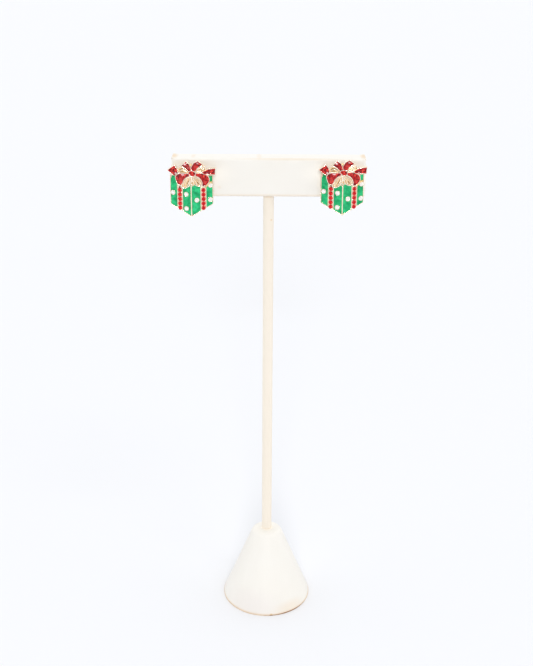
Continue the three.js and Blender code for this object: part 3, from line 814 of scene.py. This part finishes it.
def cut_stone(name, radius):
    """A round stone facing up: eight-sided table, kite and girdle facets, and a pointed back."""
    bpy.ops.object.select_all(action="DESELECT")
    bpy.ops.mesh.primitive_circle_add(vertices=STONE_SIDES, radius=radius)
    stone = model_alone(name)
    pick(stone, "vertices")
    extrude_up(-PAVILION_DEPTH)
    bpy.ops.mesh.merge(type="CENTER")
    bpy.ops.mesh.select_all(action="DESELECT")
    bpy.ops.mesh.primitive_circle_add(
        vertices=STONE_SIDES // 2,
        radius=radius * TABLE_SHARE,
        fill_type="NGON",
        location=(0, 0, CROWN_HEIGHT),
    )
    pick(stone, "edges", lambda end: end.z > -TOUCH)
    bpy.ops.mesh.select_mode(type="EDGE")
    bpy.ops.mesh.bridge_edge_loops()
    bpy.ops.mesh.select_all(action="SELECT")
    bpy.ops.mesh.normals_make_consistent(inside=False)
    bpy.ops.object.mode_set(mode="OBJECT")
    return stone


red_glass = glass_with_painted_sparkle("red_glass", (0.26, 0.0, 0.008), (0.72, 0.009, 0.017), (1, 0.13, 0.1), 0.08)
painted_shadow_red = glass_with_painted_sparkle("dark_red_glass", (0.05, 0.0, 0.003), (0.13, 0.0, 0.005), (0.3, 0.01, 0.01), 0.1)
strip_gold = gold_finish("strip_gold", (1, 0.9, 0.76), (1, 0.84, 0.66), 0.5)

for side, centre in zip(("left", "right"), COLUMN_CENTRES):
    strip = block(
        f"{side}_stone_strip",
        (centre, 0, STRIP_TOP / 2),
        (2 * STRIP_HALF, STRIP_DEPTH, STRIP_TOP),
    )
    for edge in (centre - STRIP_HALF, centre + STRIP_HALF):
        shift(strip, (0, STRIP_SUNK - face_front(edge), 0), lambda corner: abs(corner.x - edge) < TOUCH)
        shift(
            strip,
            (0, 0, foot(edge) + STRIP_ROUNDING),
            lambda corner: abs(corner.x - edge) < TOUCH and corner.z < STRIP_TOP / 2,
        )
    round_edges(strip, STRIP_ROUNDING, 2)
    pin_to_bar(finished(strip, strip_gold), "gold")

    for row in range(RED_ROWS):
        stone = cut_stone(f"red_stone_{side}_{row + 1}", RED_RADIUS)
        square_on_face(stone, centre, RED_TOP - row * RED_PITCH, RED_LIFT)
        pin_to_bar(finished(stone, red_glass, 5), "red_stone", f"red_stone_{side}_{row + 1}")

    grains = []
    for row in range(RED_ROWS):
        for across in (-GRAIN_ACROSS, GRAIN_ACROSS):
            bpy.ops.mesh.primitive_uv_sphere_add(segments=12, ring_count=8, radius=GRAIN_RADIUS)
            grains.append(model_alone("grain"))
            square_on_face(grains[-1], centre + across, RED_TOP - (row - 0.5) * RED_PITCH, GRAIN_LIFT)
    pin_to_bar(finished(joined(f"{side}_stone_beads", grains), gold_plate, 180), "gold")

# Painted shadow: a small dark stone in the shaded gap between the bow's tip and the first stone.
painted_shadow_stone = cut_stone("red_stone_under_bow", 0.4 * RED_RADIUS)
square_on_face(painted_shadow_stone, COLUMN_CENTRES[0], RED_TOP + 0.66 * RED_PITCH, 1.5 * RED_LIFT)
pin_to_bar(finished(painted_shadow_stone, painted_shadow_red, 5), "red_stone")

# ---------------------------------------------------------------- earring: clear stones
# Clear foiled stones scattered over the panels like spots on the wrapping paper. Each one sits in
# a thin turned bezel that stands up out of the enamel, its lip rubbed over the stone's edge.

CLEAR_STONES = (
    {"part": "left_outer", "x": -6.0, "z": 7.7},
    {"part": "left_inner_high", "x": -1.56, "z": 7.46},
    {"part": "left_inner_low", "x": -1.56, "z": 2.7},
    {"part": "right_inner", "x": 1.7, "z": 5.52},
    {"part": "right_outer_high", "x": 6.1, "z": 10.15},
    {"part": "right_outer_low", "x": 6.04, "z": 5.38},
)
CLEAR_RADIUS = 0.72 * MM
CLEAR_SUNK = 0.06 * MM
BEZEL_RADIUS = 0.82 * MM
BEZEL_HEIGHT = 0.34 * MM
BEZEL_LIP = 0.1 * MM

clear_glass = glass_with_painted_sparkle("clear_glass", (0.74, 0.7, 0.66), (0.95, 0.93, 0.9), (1, 1, 1), 0.04)

for spot in CLEAR_STONES:
    x, z = spot["x"] * MM, spot["z"] * MM
    stone = cut_stone("clear_stone_" + spot["part"], CLEAR_RADIUS)
    square_on_face(stone, x, z, BEZEL_HEIGHT - CLEAR_SUNK)
    pin_to_bar(finished(stone, clear_glass, 5), "clear_stone", "clear_stone_" + spot["part"])

    bezel = rod("bezel_" + spot["part"], 32, BEZEL_RADIUS, 2 * BEZEL_HEIGHT)
    pick(bezel, "polygons", lambda middle: middle.z > BEZEL_HEIGHT - TOUCH)
    bpy.ops.mesh.inset(thickness=BEZEL_LIP)
    extrude_up(-BEZEL_HEIGHT)
    round_edges(bezel, BEZEL_LIP / 2, 3, lambda end: end.z > BEZEL_HEIGHT - TOUCH)
    square_on_face(bezel, x, z, 0)
    pin_to_bar(finished(bezel, gold_plate, 50), "gold")

# ---------------------------------------------------------------- earring: the bow's ribbons
# The bow is cast with the box. Each ribbon is a gold tray with a fine raised rim, filled with
# translucent red enamel over a hammered floor, so the red sparkles. The tails lie lowest, then the
# upper ribbons, then the two loops that come forward, and the knot is on top.

BOW_REACH = 7.5 * MM
TRAY_MARGIN = 0.16 * MM
TRAY_ROUNDING = 0.08 * MM
ENAMEL_MARGIN = 0.02 * MM
ENAMEL_EDGE = 0.02 * MM
ENAMEL_DOME = 0.16 * MM
# The steps to a bend of the outline, the rim's radius, and how far the back stands out from the
# earring's back plane, and the front at the knot and at the far end, in millimetres.
TAIL_RIBBON = {"steps": 0, "rim": 0.08, "back": 2.6, "near": 4.4, "far": 4.3}
UPPER_RIBBON = {"steps": 0, "rim": 0.08, "back": 2.6, "near": 4.8, "far": 4.1}
FRONT_LOOP = {"steps": 5, "rim": 0.12, "back": 1.2, "near": 5, "far": 3.3}
TOP_KNOT = {"steps": 0, "rim": 0.11, "back": 2, "near": 5.2, "far": 5.2}
RIBBONS = (
    {
        "name": "red_left_tail",
        **TAIL_RIBBON,
        "outline": ((-7.28, 15.52), (-5.3, 13.84), (-4.38, 14.8), (-4.62, 16.0), (-5.35, 16.9)),
    },
    {
        "name": "red_upper_left",
        **UPPER_RIBBON,
        "outline": (
            (-0.75, 15.35), (-0.1, 15.6), (-0.3, 16.65), (-0.68, 17.42), (-1.6, 18.12), (-2.78, 17.0),
            (-1.78, 16.35),
        ),
    },
    {
        "name": "red_upper_right",
        **UPPER_RIBBON,
        "outline": (
            (0.42, 15.62), (0.95, 15.4), (1.48, 15.5), (2.05, 16.4), (3.55, 17.42), (2.25, 18.32),
            (1.1, 17.75), (0.28, 16.5),
        ),
    },
    {
        "name": "red_right_tail",
        **TAIL_RIBBON,
        "outline": (
            (3.85, 14.8), (4.4, 14.26), (6.2, 14.36), (7.6, 14.24), (7.76, 15.96), (5.7, 15.72),
            (4.5, 15.24),
        ),
    },
    {
        "name": "lower_left_loop",
        **FRONT_LOOP,
        "outline": (
            (-0.72, 13.75), (-0.75, 14.2), (-2.1, 14.22), (-3.85, 14.15), (-4.95, 13.3), (-4.92, 12.2),
            (-3.8, 10.65), (-3.12, 11.15), (-2.6, 12.25), (-1.45, 13.4),
        ),
    },
    {
        "name": "lower_right_loop",
        **FRONT_LOOP,
        "outline": (
            (1.6, 14.2), (1.7, 13.85), (2.5, 13.4), (3.4, 12.4), (3.82, 11.3), (3.95, 10.35),
            (5.35, 11.0), (5.85, 12.3), (5.25, 13.5), (3.95, 14.2), (2.6, 14.35),
        ),
    },
    {
        "name": "red_knot_and_loops",
        **TOP_KNOT,
        "outline": (
            (-0.68, 14.75), (-0.1, 14.2), (0.6, 13.7), (1.2, 14.1), (1.5, 14.68), (0.95, 15.18),
            (0.3, 15.34), (-0.38, 15.2),
        ),
    },
)


def flat_shape(name, points, half_thickness, rounding, steps):
    """A shape drawn flat from its outline, thickened both ways, with its edges rounded."""
    places = [(x, z, 0) for x, z in points]
    filled = {"dimensions": "2D", "fill_mode": "BOTH", "extrude": half_thickness, "bevel_depth": rounding}
    return drawn(name, places, steps, filled, closed=True)


def flat_rim(name, points, radius, steps):
    """A round wire laid flat along the whole of an outline."""
    places = [(x, z, 0) for x, z in points]
    round_wire = {"dimensions": "3D", "fill_mode": "FULL", "bevel_depth": radius}
    return drawn(name, places, steps, round_wire, closed=True)


def grown(points, by):
    """The outline moved outwards by a distance, or inwards if it is negative."""
    corners = [Vector(point) * MM for point in points]
    area = sum(a.x * b.y - b.x * a.y for a, b in zip(corners, corners[1:] + corners[:1]))
    if area < 0:
        corners.reverse()
    moved = []
    for before, corner, after in zip(corners[-1:] + corners[:-1], corners, corners[1:] + corners[:1]):
        arriving, leaving = (corner - before).normalized(), (after - corner).normalized()
        outwards = Vector((arriving.y + leaving.y, -arriving.x - leaving.x)).normalized()
        reach = max(0.5, outwards.dot(Vector((arriving.y, -arriving.x))))
        moved.append(corner + outwards * by / reach)
    return moved


def lean_back(piece, ribbon, sunk):
    """Stands a flat shape up to lean back from the knot with its ribbon, sunk below its front."""
    corners = [Vector(point) * MM for point in ribbon["outline"]]
    run = sum(corners, Vector((0, 0))) / len(corners) - Vector((KNOT.x, KNOT.z))
    slope = math.atan((ribbon["near"] - ribbon["far"]) * MM / BOW_REACH)
    hinge = Vector((-run.y, 0, run.x))
    at_knot = Matrix.Translation(KNOT - Vector((0, ribbon["near"] * MM, 0)))
    leaning = at_knot @ Matrix.Rotation(slope, 4, hinge) @ Matrix.Translation(-KNOT)
    upright = Matrix.Rotation(math.pi / 2, 4, "X") @ Matrix.Translation((0, 0, -sunk))
    piece.data.transform(leaning @ upright)


def pin_in_bow(piece, shape, sunk, gold, smooth_below=80):
    """Leans a gold piece back with its loop or ribbon of the bow, and pins it to the bar."""
    lean_back(piece, shape, sunk)
    pin_to_bar(finished(piece, gold, smooth_below), "gold", on_bow=True)


# Places on the bow, in millimetres, where the red is painted: pale pink highlights, brighter red
# patches, and dark red that is partly enamel lying deeper and partly painted shade.
PAINTED_GLINT_PINK = (0.97, 0.66, 0.68)
BRIGHTER_RED = (0.74, 0.06, 0.05)
POOLED_AND_PAINTED_SHADE_RED = (0.09, 0.001, 0.006)
RED_TONES = {0.08: (0.1, 0.001, 0.004), 0.25: (0.46, 0.01, 0.012), 0.5: (0.94, 0.07, 0.04)}
# Painted highlights: pale pink glints on the enamel.
PAINTED_GLINT_PLACES = (
    {"place": (-1.9, 17.5, 0), "reach": (0.62, 0.46, 1), "strength": 0.95},
    {"place": (-2.7, 14.0, 0), "reach": (0.8, 0.36, 1), "strength": 0.95},
    {"place": (-4.92, 14.5, 0), "reach": (0.44, 0.5, 1), "strength": 0.85},
    {"place": (2.2, 17.8, 0), "reach": (0.6, 0.4, 1), "strength": 0.5},
    {"place": (5.3, 14.5, 0), "reach": (0.5, 0.3, 1), "strength": 0.5},
)
# Brighter red patches on the enamel.
BRIGHTER_RED_PLACES = (
    {"place": (-3.6, 11.7, 0), "reach": (1.0, 1.2, 1), "strength": 0.7},
    {"place": (4.5, 11.3, 0), "reach": (0.9, 0.9, 1), "strength": 0.7},
    {"place": (1.5, 16.7, 0), "reach": (1.0, 1.0, 1), "strength": 0.55},
    {"place": (-0.9, 16.3, 0), "reach": (0.5, 0.7, 1), "strength": 0.45},
    {"place": (-6.0, 14.7, 0), "reach": (0.8, 0.7, 1), "strength": 0.5},
    {"place": (3.2, 13.8, 0), "reach": (0.8, 0.5, 1), "strength": 0.5},
    {"place": (6.5, 15.0, 0), "reach": (0.7, 0.6, 1), "strength": 0.35},
)
# Dark red, partly enamel lying deeper and partly painted shade along edges and folds.
POOLED_AND_PAINTED_SHADE_PLACES = (
    {"place": (-1.7, 16.7, 0), "reach": (1.2, 0.28, 1), "strength": 0.8},
    {"place": (-4.1, 13.9, 0), "reach": (0.8, 0.5, 1), "strength": 0.6},
    {"place": (-5.0, 16.1, 0), "reach": (0.5, 0.9, 1), "strength": 0.5},
    {"place": (4.5, 14.9, 0), "reach": (0.7, 0.5, 1), "strength": 0.7},
    {"place": (5.0, 12.8, 0), "reach": (0.7, 0.7, 1), "strength": 0.6},
    {"place": (3.9, 11.8, 0), "reach": (0.3, 1.2, 1), "strength": 0.8},
    {"place": (2.3, 18.2, 0), "reach": (0.5, 0.35, 1), "strength": 0.8},
    {"place": (3.4, 17.4, 0), "reach": (0.4, 0.35, 1), "strength": 0.8},
    {"place": (4.0, 10.5, 0), "reach": (0.4, 0.4, 1), "strength": 0.6},
)

red_enamel, red_shader = plain_finish("red_enamel", (0.4, 0.004, 0.01), 0.14)
on_bow = shading(red_enamel, "UVMap", "UV", uv_map="place_on_bow")
hammered = shading(red_enamel, "TexVoronoi", "Color", {"Vector": on_bow, "Scale": 2.3})
hammered_grey = shading(red_enamel, "RGBToBW", "Val", {"Color": hammered})
red_clouds = shading(red_enamel, "TexNoise", "Fac", {"Vector": on_bow, "Scale": 1.1, "Detail": 2})
sparkle = shading(red_enamel, "Math", "Value", {0: hammered_grey, 1: red_clouds}, operation="MULTIPLY")
red_color = toned(red_enamel, sparkle, RED_TONES)
red_color = with_marks(red_enamel, on_bow, red_color, BRIGHTER_RED, BRIGHTER_RED_PLACES, unit=1)
red_color = with_marks(red_enamel, on_bow, red_color, POOLED_AND_PAINTED_SHADE_RED, POOLED_AND_PAINTED_SHADE_PLACES, unit=1)
red_color = with_marks(red_enamel, on_bow, red_color, PAINTED_GLINT_PINK, PAINTED_GLINT_PLACES, unit=1)
# Painted shade along the rims where the enamel meets the gold, partly enamel lying deeper there.
rise = shading(red_enamel, "Attribute", "Fac", attribute_name="rise_from_edge")
low_rim = {"Value": rise, "From Min": 0.98, "From Max": 0.5, "To Max": 0.9}
rim_shade = shading(red_enamel, "MapRange", "Result", low_rim, interpolation_type="SMOOTHSTEP")
layers = {"Factor": rim_shade, "A": red_color, "B": (*POOLED_AND_PAINTED_SHADE_RED, 1)}
red_relief = {"Height": red_clouds, "Strength": 0.4, "Distance": 0.1 * MM}
red_surface = {
    "Specular IOR Level": 0.25,
    "Base Color": shading(red_enamel, "Mix", "Result", layers, data_type="RGBA"),
    "Normal": shading(red_enamel, "Bump", "Normal", red_relief),
}
feed(red_enamel, red_shader, red_surface)

# Painted highlight: a paler gold for the ribbon rims, the loop hems and the bead, for the light on them.
bright_gold = gold_finish("bright_gold", (1, 0.92, 0.8), (1, 0.86, 0.7), 0.12)

for ribbon in RIBBONS:
    name, steps = ribbon["name"], ribbon["steps"]
    rim_radius = ribbon["rim"] * MM
    thickness = (ribbon["near"] - ribbon["back"]) * MM - rim_radius
    tray_edge = grown(ribbon["outline"], TRAY_MARGIN)
    tray = flat_shape(name + "_tray", tray_edge, thickness / 2 - TRAY_ROUNDING, TRAY_ROUNDING, steps)
    pin_in_bow(tray, ribbon, rim_radius + thickness / 2, gold_plate, 50)
    rim = flat_rim(name + "_rim", tray_edge, rim_radius, steps)
    pin_in_bow(rim, ribbon, rim_radius, bright_gold)

    fill = flat_shape(name, grown(ribbon["outline"], ENAMEL_MARGIN), ENAMEL_EDGE, ENAMEL_DOME, steps)
    rises = fill.data.attributes.new("rise_from_edge", "FLOAT", "POINT")
    for corner, height in zip(fill.data.vertices, rises.data):
        height.value = corner.co.z / (ENAMEL_DOME + ENAMEL_EDGE)
    flat_places = fill.data.uv_layers.new(name="place_on_bow")
    for corner, flat_place in zip(fill.data.loops, flat_places.data):
        flat_place.uv = fill.data.vertices[corner.vertex_index].co.xy / MM
    # The two front loops are part of the knot's solid, so they stand for none of their own.
    solids = [name] if name.startswith("red_") else []
    lean_back(fill, ribbon, ENAMEL_DOME + ENAMEL_EDGE)
    pin_to_bar(finished(fill, red_enamel, 80), "red_enamel", *solids, on_bow=True)

# ---------------------------------------------------------------- earring: gold loops of the bow
# Between the ribbons stand four loops of plain gold, cast in pleats that run out from the knot. The
# pleats are polished. The deeper gold of the floor between them is painted shade in the grooves, and
# the narrow slits are painted almost brown for the shade inside the loops.

LOWER_GOLD = {"back": 1.6, "near": 4.5, "far": 3.1}
UPPER_GOLD = {"back": 2.6, "near": 4.5, "far": 3.9}
GOLD_LOOPS = (
    {
        "name": "gold_lower_left_loop",
        **LOWER_GOLD,
        "outline": (
            (-0.3, 13.7), (-1.87, 13.0), (-2.9, 11.6), (-3.45, 10.3), (-2.75, 9.3), (-1.5, 9.5),
            (-0.45, 10.6),
        ),
        "pleats": (
            {"width": 0.2, "run": ((-0.55, 13.4), (-1.75, 12.3), (-2.5, 11.0), (-2.75, 10.0))},
            {"width": 0.17, "run": ((-0.5, 13.2), (-1.35, 12.1), (-1.95, 10.9), (-2.2, 9.9))},
            {"width": 0.17, "run": ((-0.4, 12.9), (-0.68, 11.7), (-1.1, 10.7), (-1.55, 9.95))},
        ),
        "slits": ({"width": 0.09, "run": ((-0.82, 11.9), (-1.12, 11.3), (-1.5, 10.6))},),
    },
    {
        "name": "gold_lower_right_loop",
        **LOWER_GOLD,
        "outline": (
            (0.5, 13.7), (0.75, 11.0), (1.48, 10.25), (2.6, 9.9), (3.5, 10.4), (3.55, 11.6), (2.5, 12.95),
        ),
        "pleats": (
            {"width": 0.2, "run": ((0.75, 13.4), (2.2, 12.5), (3.05, 11.3), (3.1, 10.6))},
            {"width": 0.15, "run": ((0.75, 13.2), (1.9, 12.2), (2.55, 11.4), (2.7, 10.6))},
            {"width": 0.22, "run": ((0.65, 12.9), (1.25, 12.0), (1.65, 11.2), (1.9, 10.45))},
        ),
        "slits": (
            {"width": 0.13, "run": ((2.05, 11.35), (2.22, 11.05), (2.42, 10.65))},
            {"width": 0.08, "run": ((2.55, 12.3), (2.86, 11.9), (3.05, 11.5))},
        ),
    },
    {
        "name": "gold_upper_left_loop",
        **UPPER_GOLD,
        "outline": ((-0.6, 14.95), (-1.9, 16.0), (-3.2, 16.6), (-4.2, 16.0), (-4.25, 14.7), (-2.6, 14.3)),
        "pleats": (
            {"width": 0.17, "run": ((-3.7, 15.0), (-3.2, 15.5), (-2.6, 15.6), (-1.8, 15.2), (-1.2, 14.9))},
            {"width": 0.15, "run": ((-3.9, 14.6), (-2.8, 14.6), (-1.4, 14.7))},
        ),
        "slits": (
            {
                "width": 0.11,
                "run": ((-3.7, 15.45), (-3.3, 15.82), (-2.7, 15.95), (-2.0, 15.7), (-1.5, 15.3)),
            },
            {"width": 0.09, "run": ((-3.5, 14.98), (-3, 15.05), (-2.5, 14.98))},
        ),
    },
    {
        "name": "gold_upper_right_loop",
        **UPPER_GOLD,
        "outline": ((1.4, 14.95), (2.9, 14.4), (4.3, 14.9), (4.95, 15.9), (4.1, 16.8), (2.3, 16.3)),
        "pleats": (
            {"width": 0.24, "run": ((1.7, 15.2), (2.5, 15.85), (3.5, 16.3), (4.2, 16.2))},
            {"width": 0.24, "run": ((1.9, 15.0), (2.9, 15.3), (3.7, 15.75), (4.3, 15.9))},
            {"width": 0.18, "run": ((2.2, 14.85), (3.1, 14.8), (4.0, 15.2))},
        ),
        "slits": (
            {"width": 0.09, "run": ((3.6, 16.62), (3.8, 16.55), (3.95, 16.45))},
            {"width": 0.08, "run": ((4.3, 15.55), (4.45, 15.7), (4.5, 15.85))},
        ),
    },
)
LOOP_STEPS = 5
WIRE_STEPS = 6
HEM_INSET = 0.08 * MM
HEM_RADIUS = 0.2 * MM
FLOOR_INSET = 0.04 * MM
FLOOR_ROUNDING = 0.06 * MM
GROOVE_DEPTH = 0.3 * MM
PLEAT_SUNK = 0.22 * MM
SLIT_SUNK = 0.28 * MM
LAID_FLAT = Matrix.Rotation(-math.pi / 2, 4, "X")

# Painted shade: a deeper gold for the floors under the pleats, and a near-brown for the slits.
groove_gold = gold_finish("groove_gold", (0.96, 0.67, 0.37), (0.77, 0.46, 0.2), 0.3)
slit_gold = gold_finish("slit_gold", (0.34, 0.19, 0.08), (0.14, 0.07, 0.025), 0.45)


def gold_floor(shape, points, rounding, steps):
    """Pins the floor of a loop or tongue, which lies a groove's depth behind its front."""
    thickness = (shape["near"] - shape["back"]) * MM - GROOVE_DEPTH
    plate = flat_shape(shape["name"] + "_floor", points, thickness / 2 - rounding, rounding, steps)
    pin_in_bow(plate, shape, GROOVE_DEPTH + thickness / 2, groove_gold, 50)


def gold_lines(name, lines, shape, sunk, gold):
    """Pins smooth wires that lie along the lines of a loop or tongue, as one piece."""
    wires = []
    for line in lines:
        points = [(x * MM, 0, z * MM) for x, z in line["run"]]
        wires.append(gold_wire("wire", points, line["width"] * MM, WIRE_STEPS))
        wires[-1].data.transform(LAID_FLAT)
    pin_in_bow(joined(name, wires), shape, sunk, gold)


for loop in GOLD_LOOPS:
    gold_floor(loop, grown(loop["outline"], -FLOOR_INSET), FLOOR_ROUNDING, LOOP_STEPS)
    hem = flat_rim(loop["name"] + "_hem", grown(loop["outline"], -HEM_INSET), HEM_RADIUS, LOOP_STEPS)
    pin_in_bow(hem, loop, PLEAT_SUNK, bright_gold)
    gold_lines(loop["name"], loop["pleats"], loop, PLEAT_SUNK, gold_plate)
    gold_lines(loop["name"] + "_slits", loop["slits"], loop, SLIT_SUNK, slit_gold)

# ---------------------------------------------------------------- earring: middle of the bow
# A gold tongue comes down from under the knot to a point on the ridge, with a small polished bead
# near its end. A narrow gold web joins the two upper ribbons, and a bent claw stands at the right.

TONGUES = (
    {
        "name": "tongue",
        "back": 1.6,
        "near": 4.5,
        "far": 3.4,
        "outline": (
            (-0.6, 13.6), (-0.72, 11.2), (-0.6, 10.1), (0, 9.7), (0.75, 10.2), (0.95, 11.2), (0.9, 13.6),
        ),
        "ridges": (
            {"width": 0.15, "run": ((-0.32, 13.6), (-0.5, 11.6), (-0.42, 10.3), (0, 9.85))},
            {"width": 0.15, "run": ((0.62, 13.6), (0.72, 11.6), (0.6, 10.6), (0, 9.85))},
            {"width": 0.15, "run": ((0.12, 13.7), (0.1, 12.4), (0.02, 11.2))},
        ),
    },
    {
        "name": "web",
        "back": 2.6,
        "near": 4.3,
        "far": 4.1,
        "outline": ((-0.8, 14.9), (1, 14.9), (0.4, 16.6), (0, 17.4), (-0.4, 16.6)),
        "ridges": (
            {"width": 0.15, "run": ((-0.42, 14.9), (-0.26, 16.1), (-0.06, 17.2))},
            {"width": 0.15, "run": ((0.5, 14.9), (0.3, 16.1), (0.06, 17.2))},
        ),
    },
)
TONGUE_ROUNDING = 0.05 * MM
BEAD = {"x": 0, "z": 10.87 * MM, "depth": 4.05 * MM, "radius": 0.32 * MM}
CLAW = ((4.6, 9.72), (5.1, 10.2), (5.6, 10.9), (6.6, 11.2))
CLAW_THICKNESS = 0.29 * MM
CLAW_PROUD = 1.3 * CLAW_THICKNESS

for tongue in TONGUES:
    outline = [Vector(point) * MM for point in tongue["outline"]]
    gold_floor(tongue, outline, TONGUE_ROUNDING, 0)
    gold_lines(tongue["name"], tongue["ridges"], tongue, PLEAT_SUNK, gold_plate)

bpy.ops.mesh.primitive_uv_sphere_add(
    segments=24,
    ring_count=16,
    radius=BEAD["radius"],
    location=(BEAD["x"], -BEAD["depth"], BEAD["z"]),
)
pin_to_bar(finished(model_alone("bead"), bright_gold, 180), "gold", on_bow=True)

claw_gold = gold_finish("claw_gold", (1, 0.72, 0.34), (0.92, 0.55, 0.2), 0.4)
claw_bends = [(x * MM, face_front(x * MM) + CLAW_PROUD, z * MM) for x, z in CLAW]
claw = gold_wire("claw", claw_bends, CLAW_THICKNESS, WIRE_STEPS)
pin_to_bar(finished(claw, claw_gold, 80), "gold")

# ---------------------------------------------------------------- earring: post and clutch
# A straight wire post is soldered to the back of the box and goes through the hole in the bar. Its
# tip is rounded, with a turned notch, and a plain turned clutch of gold-plated brass is pushed on.

POST_RADIUS = 0.45 * MM
POST_LENGTH = 12.2 * MM
POST_SUNK = 1 * MM
TIP_ROUNDING = 0.28 * MM
NOTCH = {"from_tip": 1.1 * MM, "width": 0.4 * MM, "waist": 0.74}
FLANGE_RADIUS = 2.3 * MM
FLANGE_THICKNESS = 0.8 * MM
WAIST_RADIUS = 1.5 * MM
TAIL_RADIUS = 1.35 * MM
TAIL_START = 1.2 * MM
CLUTCH_LENGTH = 3.2 * MM
CLUTCH_BORE = 0.5 * MM
CLUTCH_FRONT = 0.1 * MM
CLUTCH_ROUNDING = 0.14 * MM
clutch_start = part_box("left_clutch")[0].y - (BAR_FRONT - BACK_GAP)
towards_back = Matrix.Rotation(-math.pi / 2, 4, "X")

post = rod("post", 32, POST_RADIUS, POST_LENGTH + POST_SUNK)
post.data.transform(Matrix.Translation((0, 0, (POST_LENGTH - POST_SUNK) / 2)))
notch_middle = POST_LENGTH - NOTCH["from_tip"]
half_notch = NOTCH["width"] / 2
cut_across(post, [notch_middle - half_notch, notch_middle, notch_middle + half_notch], (0, 0, 1))
pick(post, "vertices", lambda corner: abs(corner.z - notch_middle) < TOUCH)
waist = (NOTCH["waist"], NOTCH["waist"], 1)
bpy.ops.transform.resize(value=waist, center_override=(0, 0, notch_middle))
round_edges(post, TIP_ROUNDING, 5, lambda end: end.z > POST_LENGTH - TOUCH)
post.data.transform(Matrix.Translation((0, 0, POST_HEIGHT)) @ towards_back)
pin_to_bar(finished(post, gold_plate), "gold")

clutch = rod("clutch", 64, FLANGE_RADIUS, FLANGE_THICKNESS)
clutch.data.transform(Matrix.Translation((0, 0, FLANGE_THICKNESS / 2)))
pick(clutch, "polygons", lambda middle: middle.z > FLANGE_THICKNESS - TOUCH)
for inset, height in (
    (FLANGE_RADIUS - WAIST_RADIUS, TAIL_START - FLANGE_THICKNESS),
    (WAIST_RADIUS - TAIL_RADIUS, CLUTCH_LENGTH - TAIL_START),
    (TAIL_RADIUS - CLUTCH_BORE, CLUTCH_FRONT - CLUTCH_LENGTH),
):
    bpy.ops.mesh.inset(thickness=inset)
    extrude_up(height)
round_edges(clutch, CLUTCH_ROUNDING, 3, lambda end: math.hypot(end.x, end.y) > TAIL_RADIUS - TOUCH)
clutch.data.transform(Matrix.Translation((0, clutch_start, POST_HEIGHT)) @ towards_back)
pin_to_bar(finished(clutch, gold_plate), "gold", "clutch")
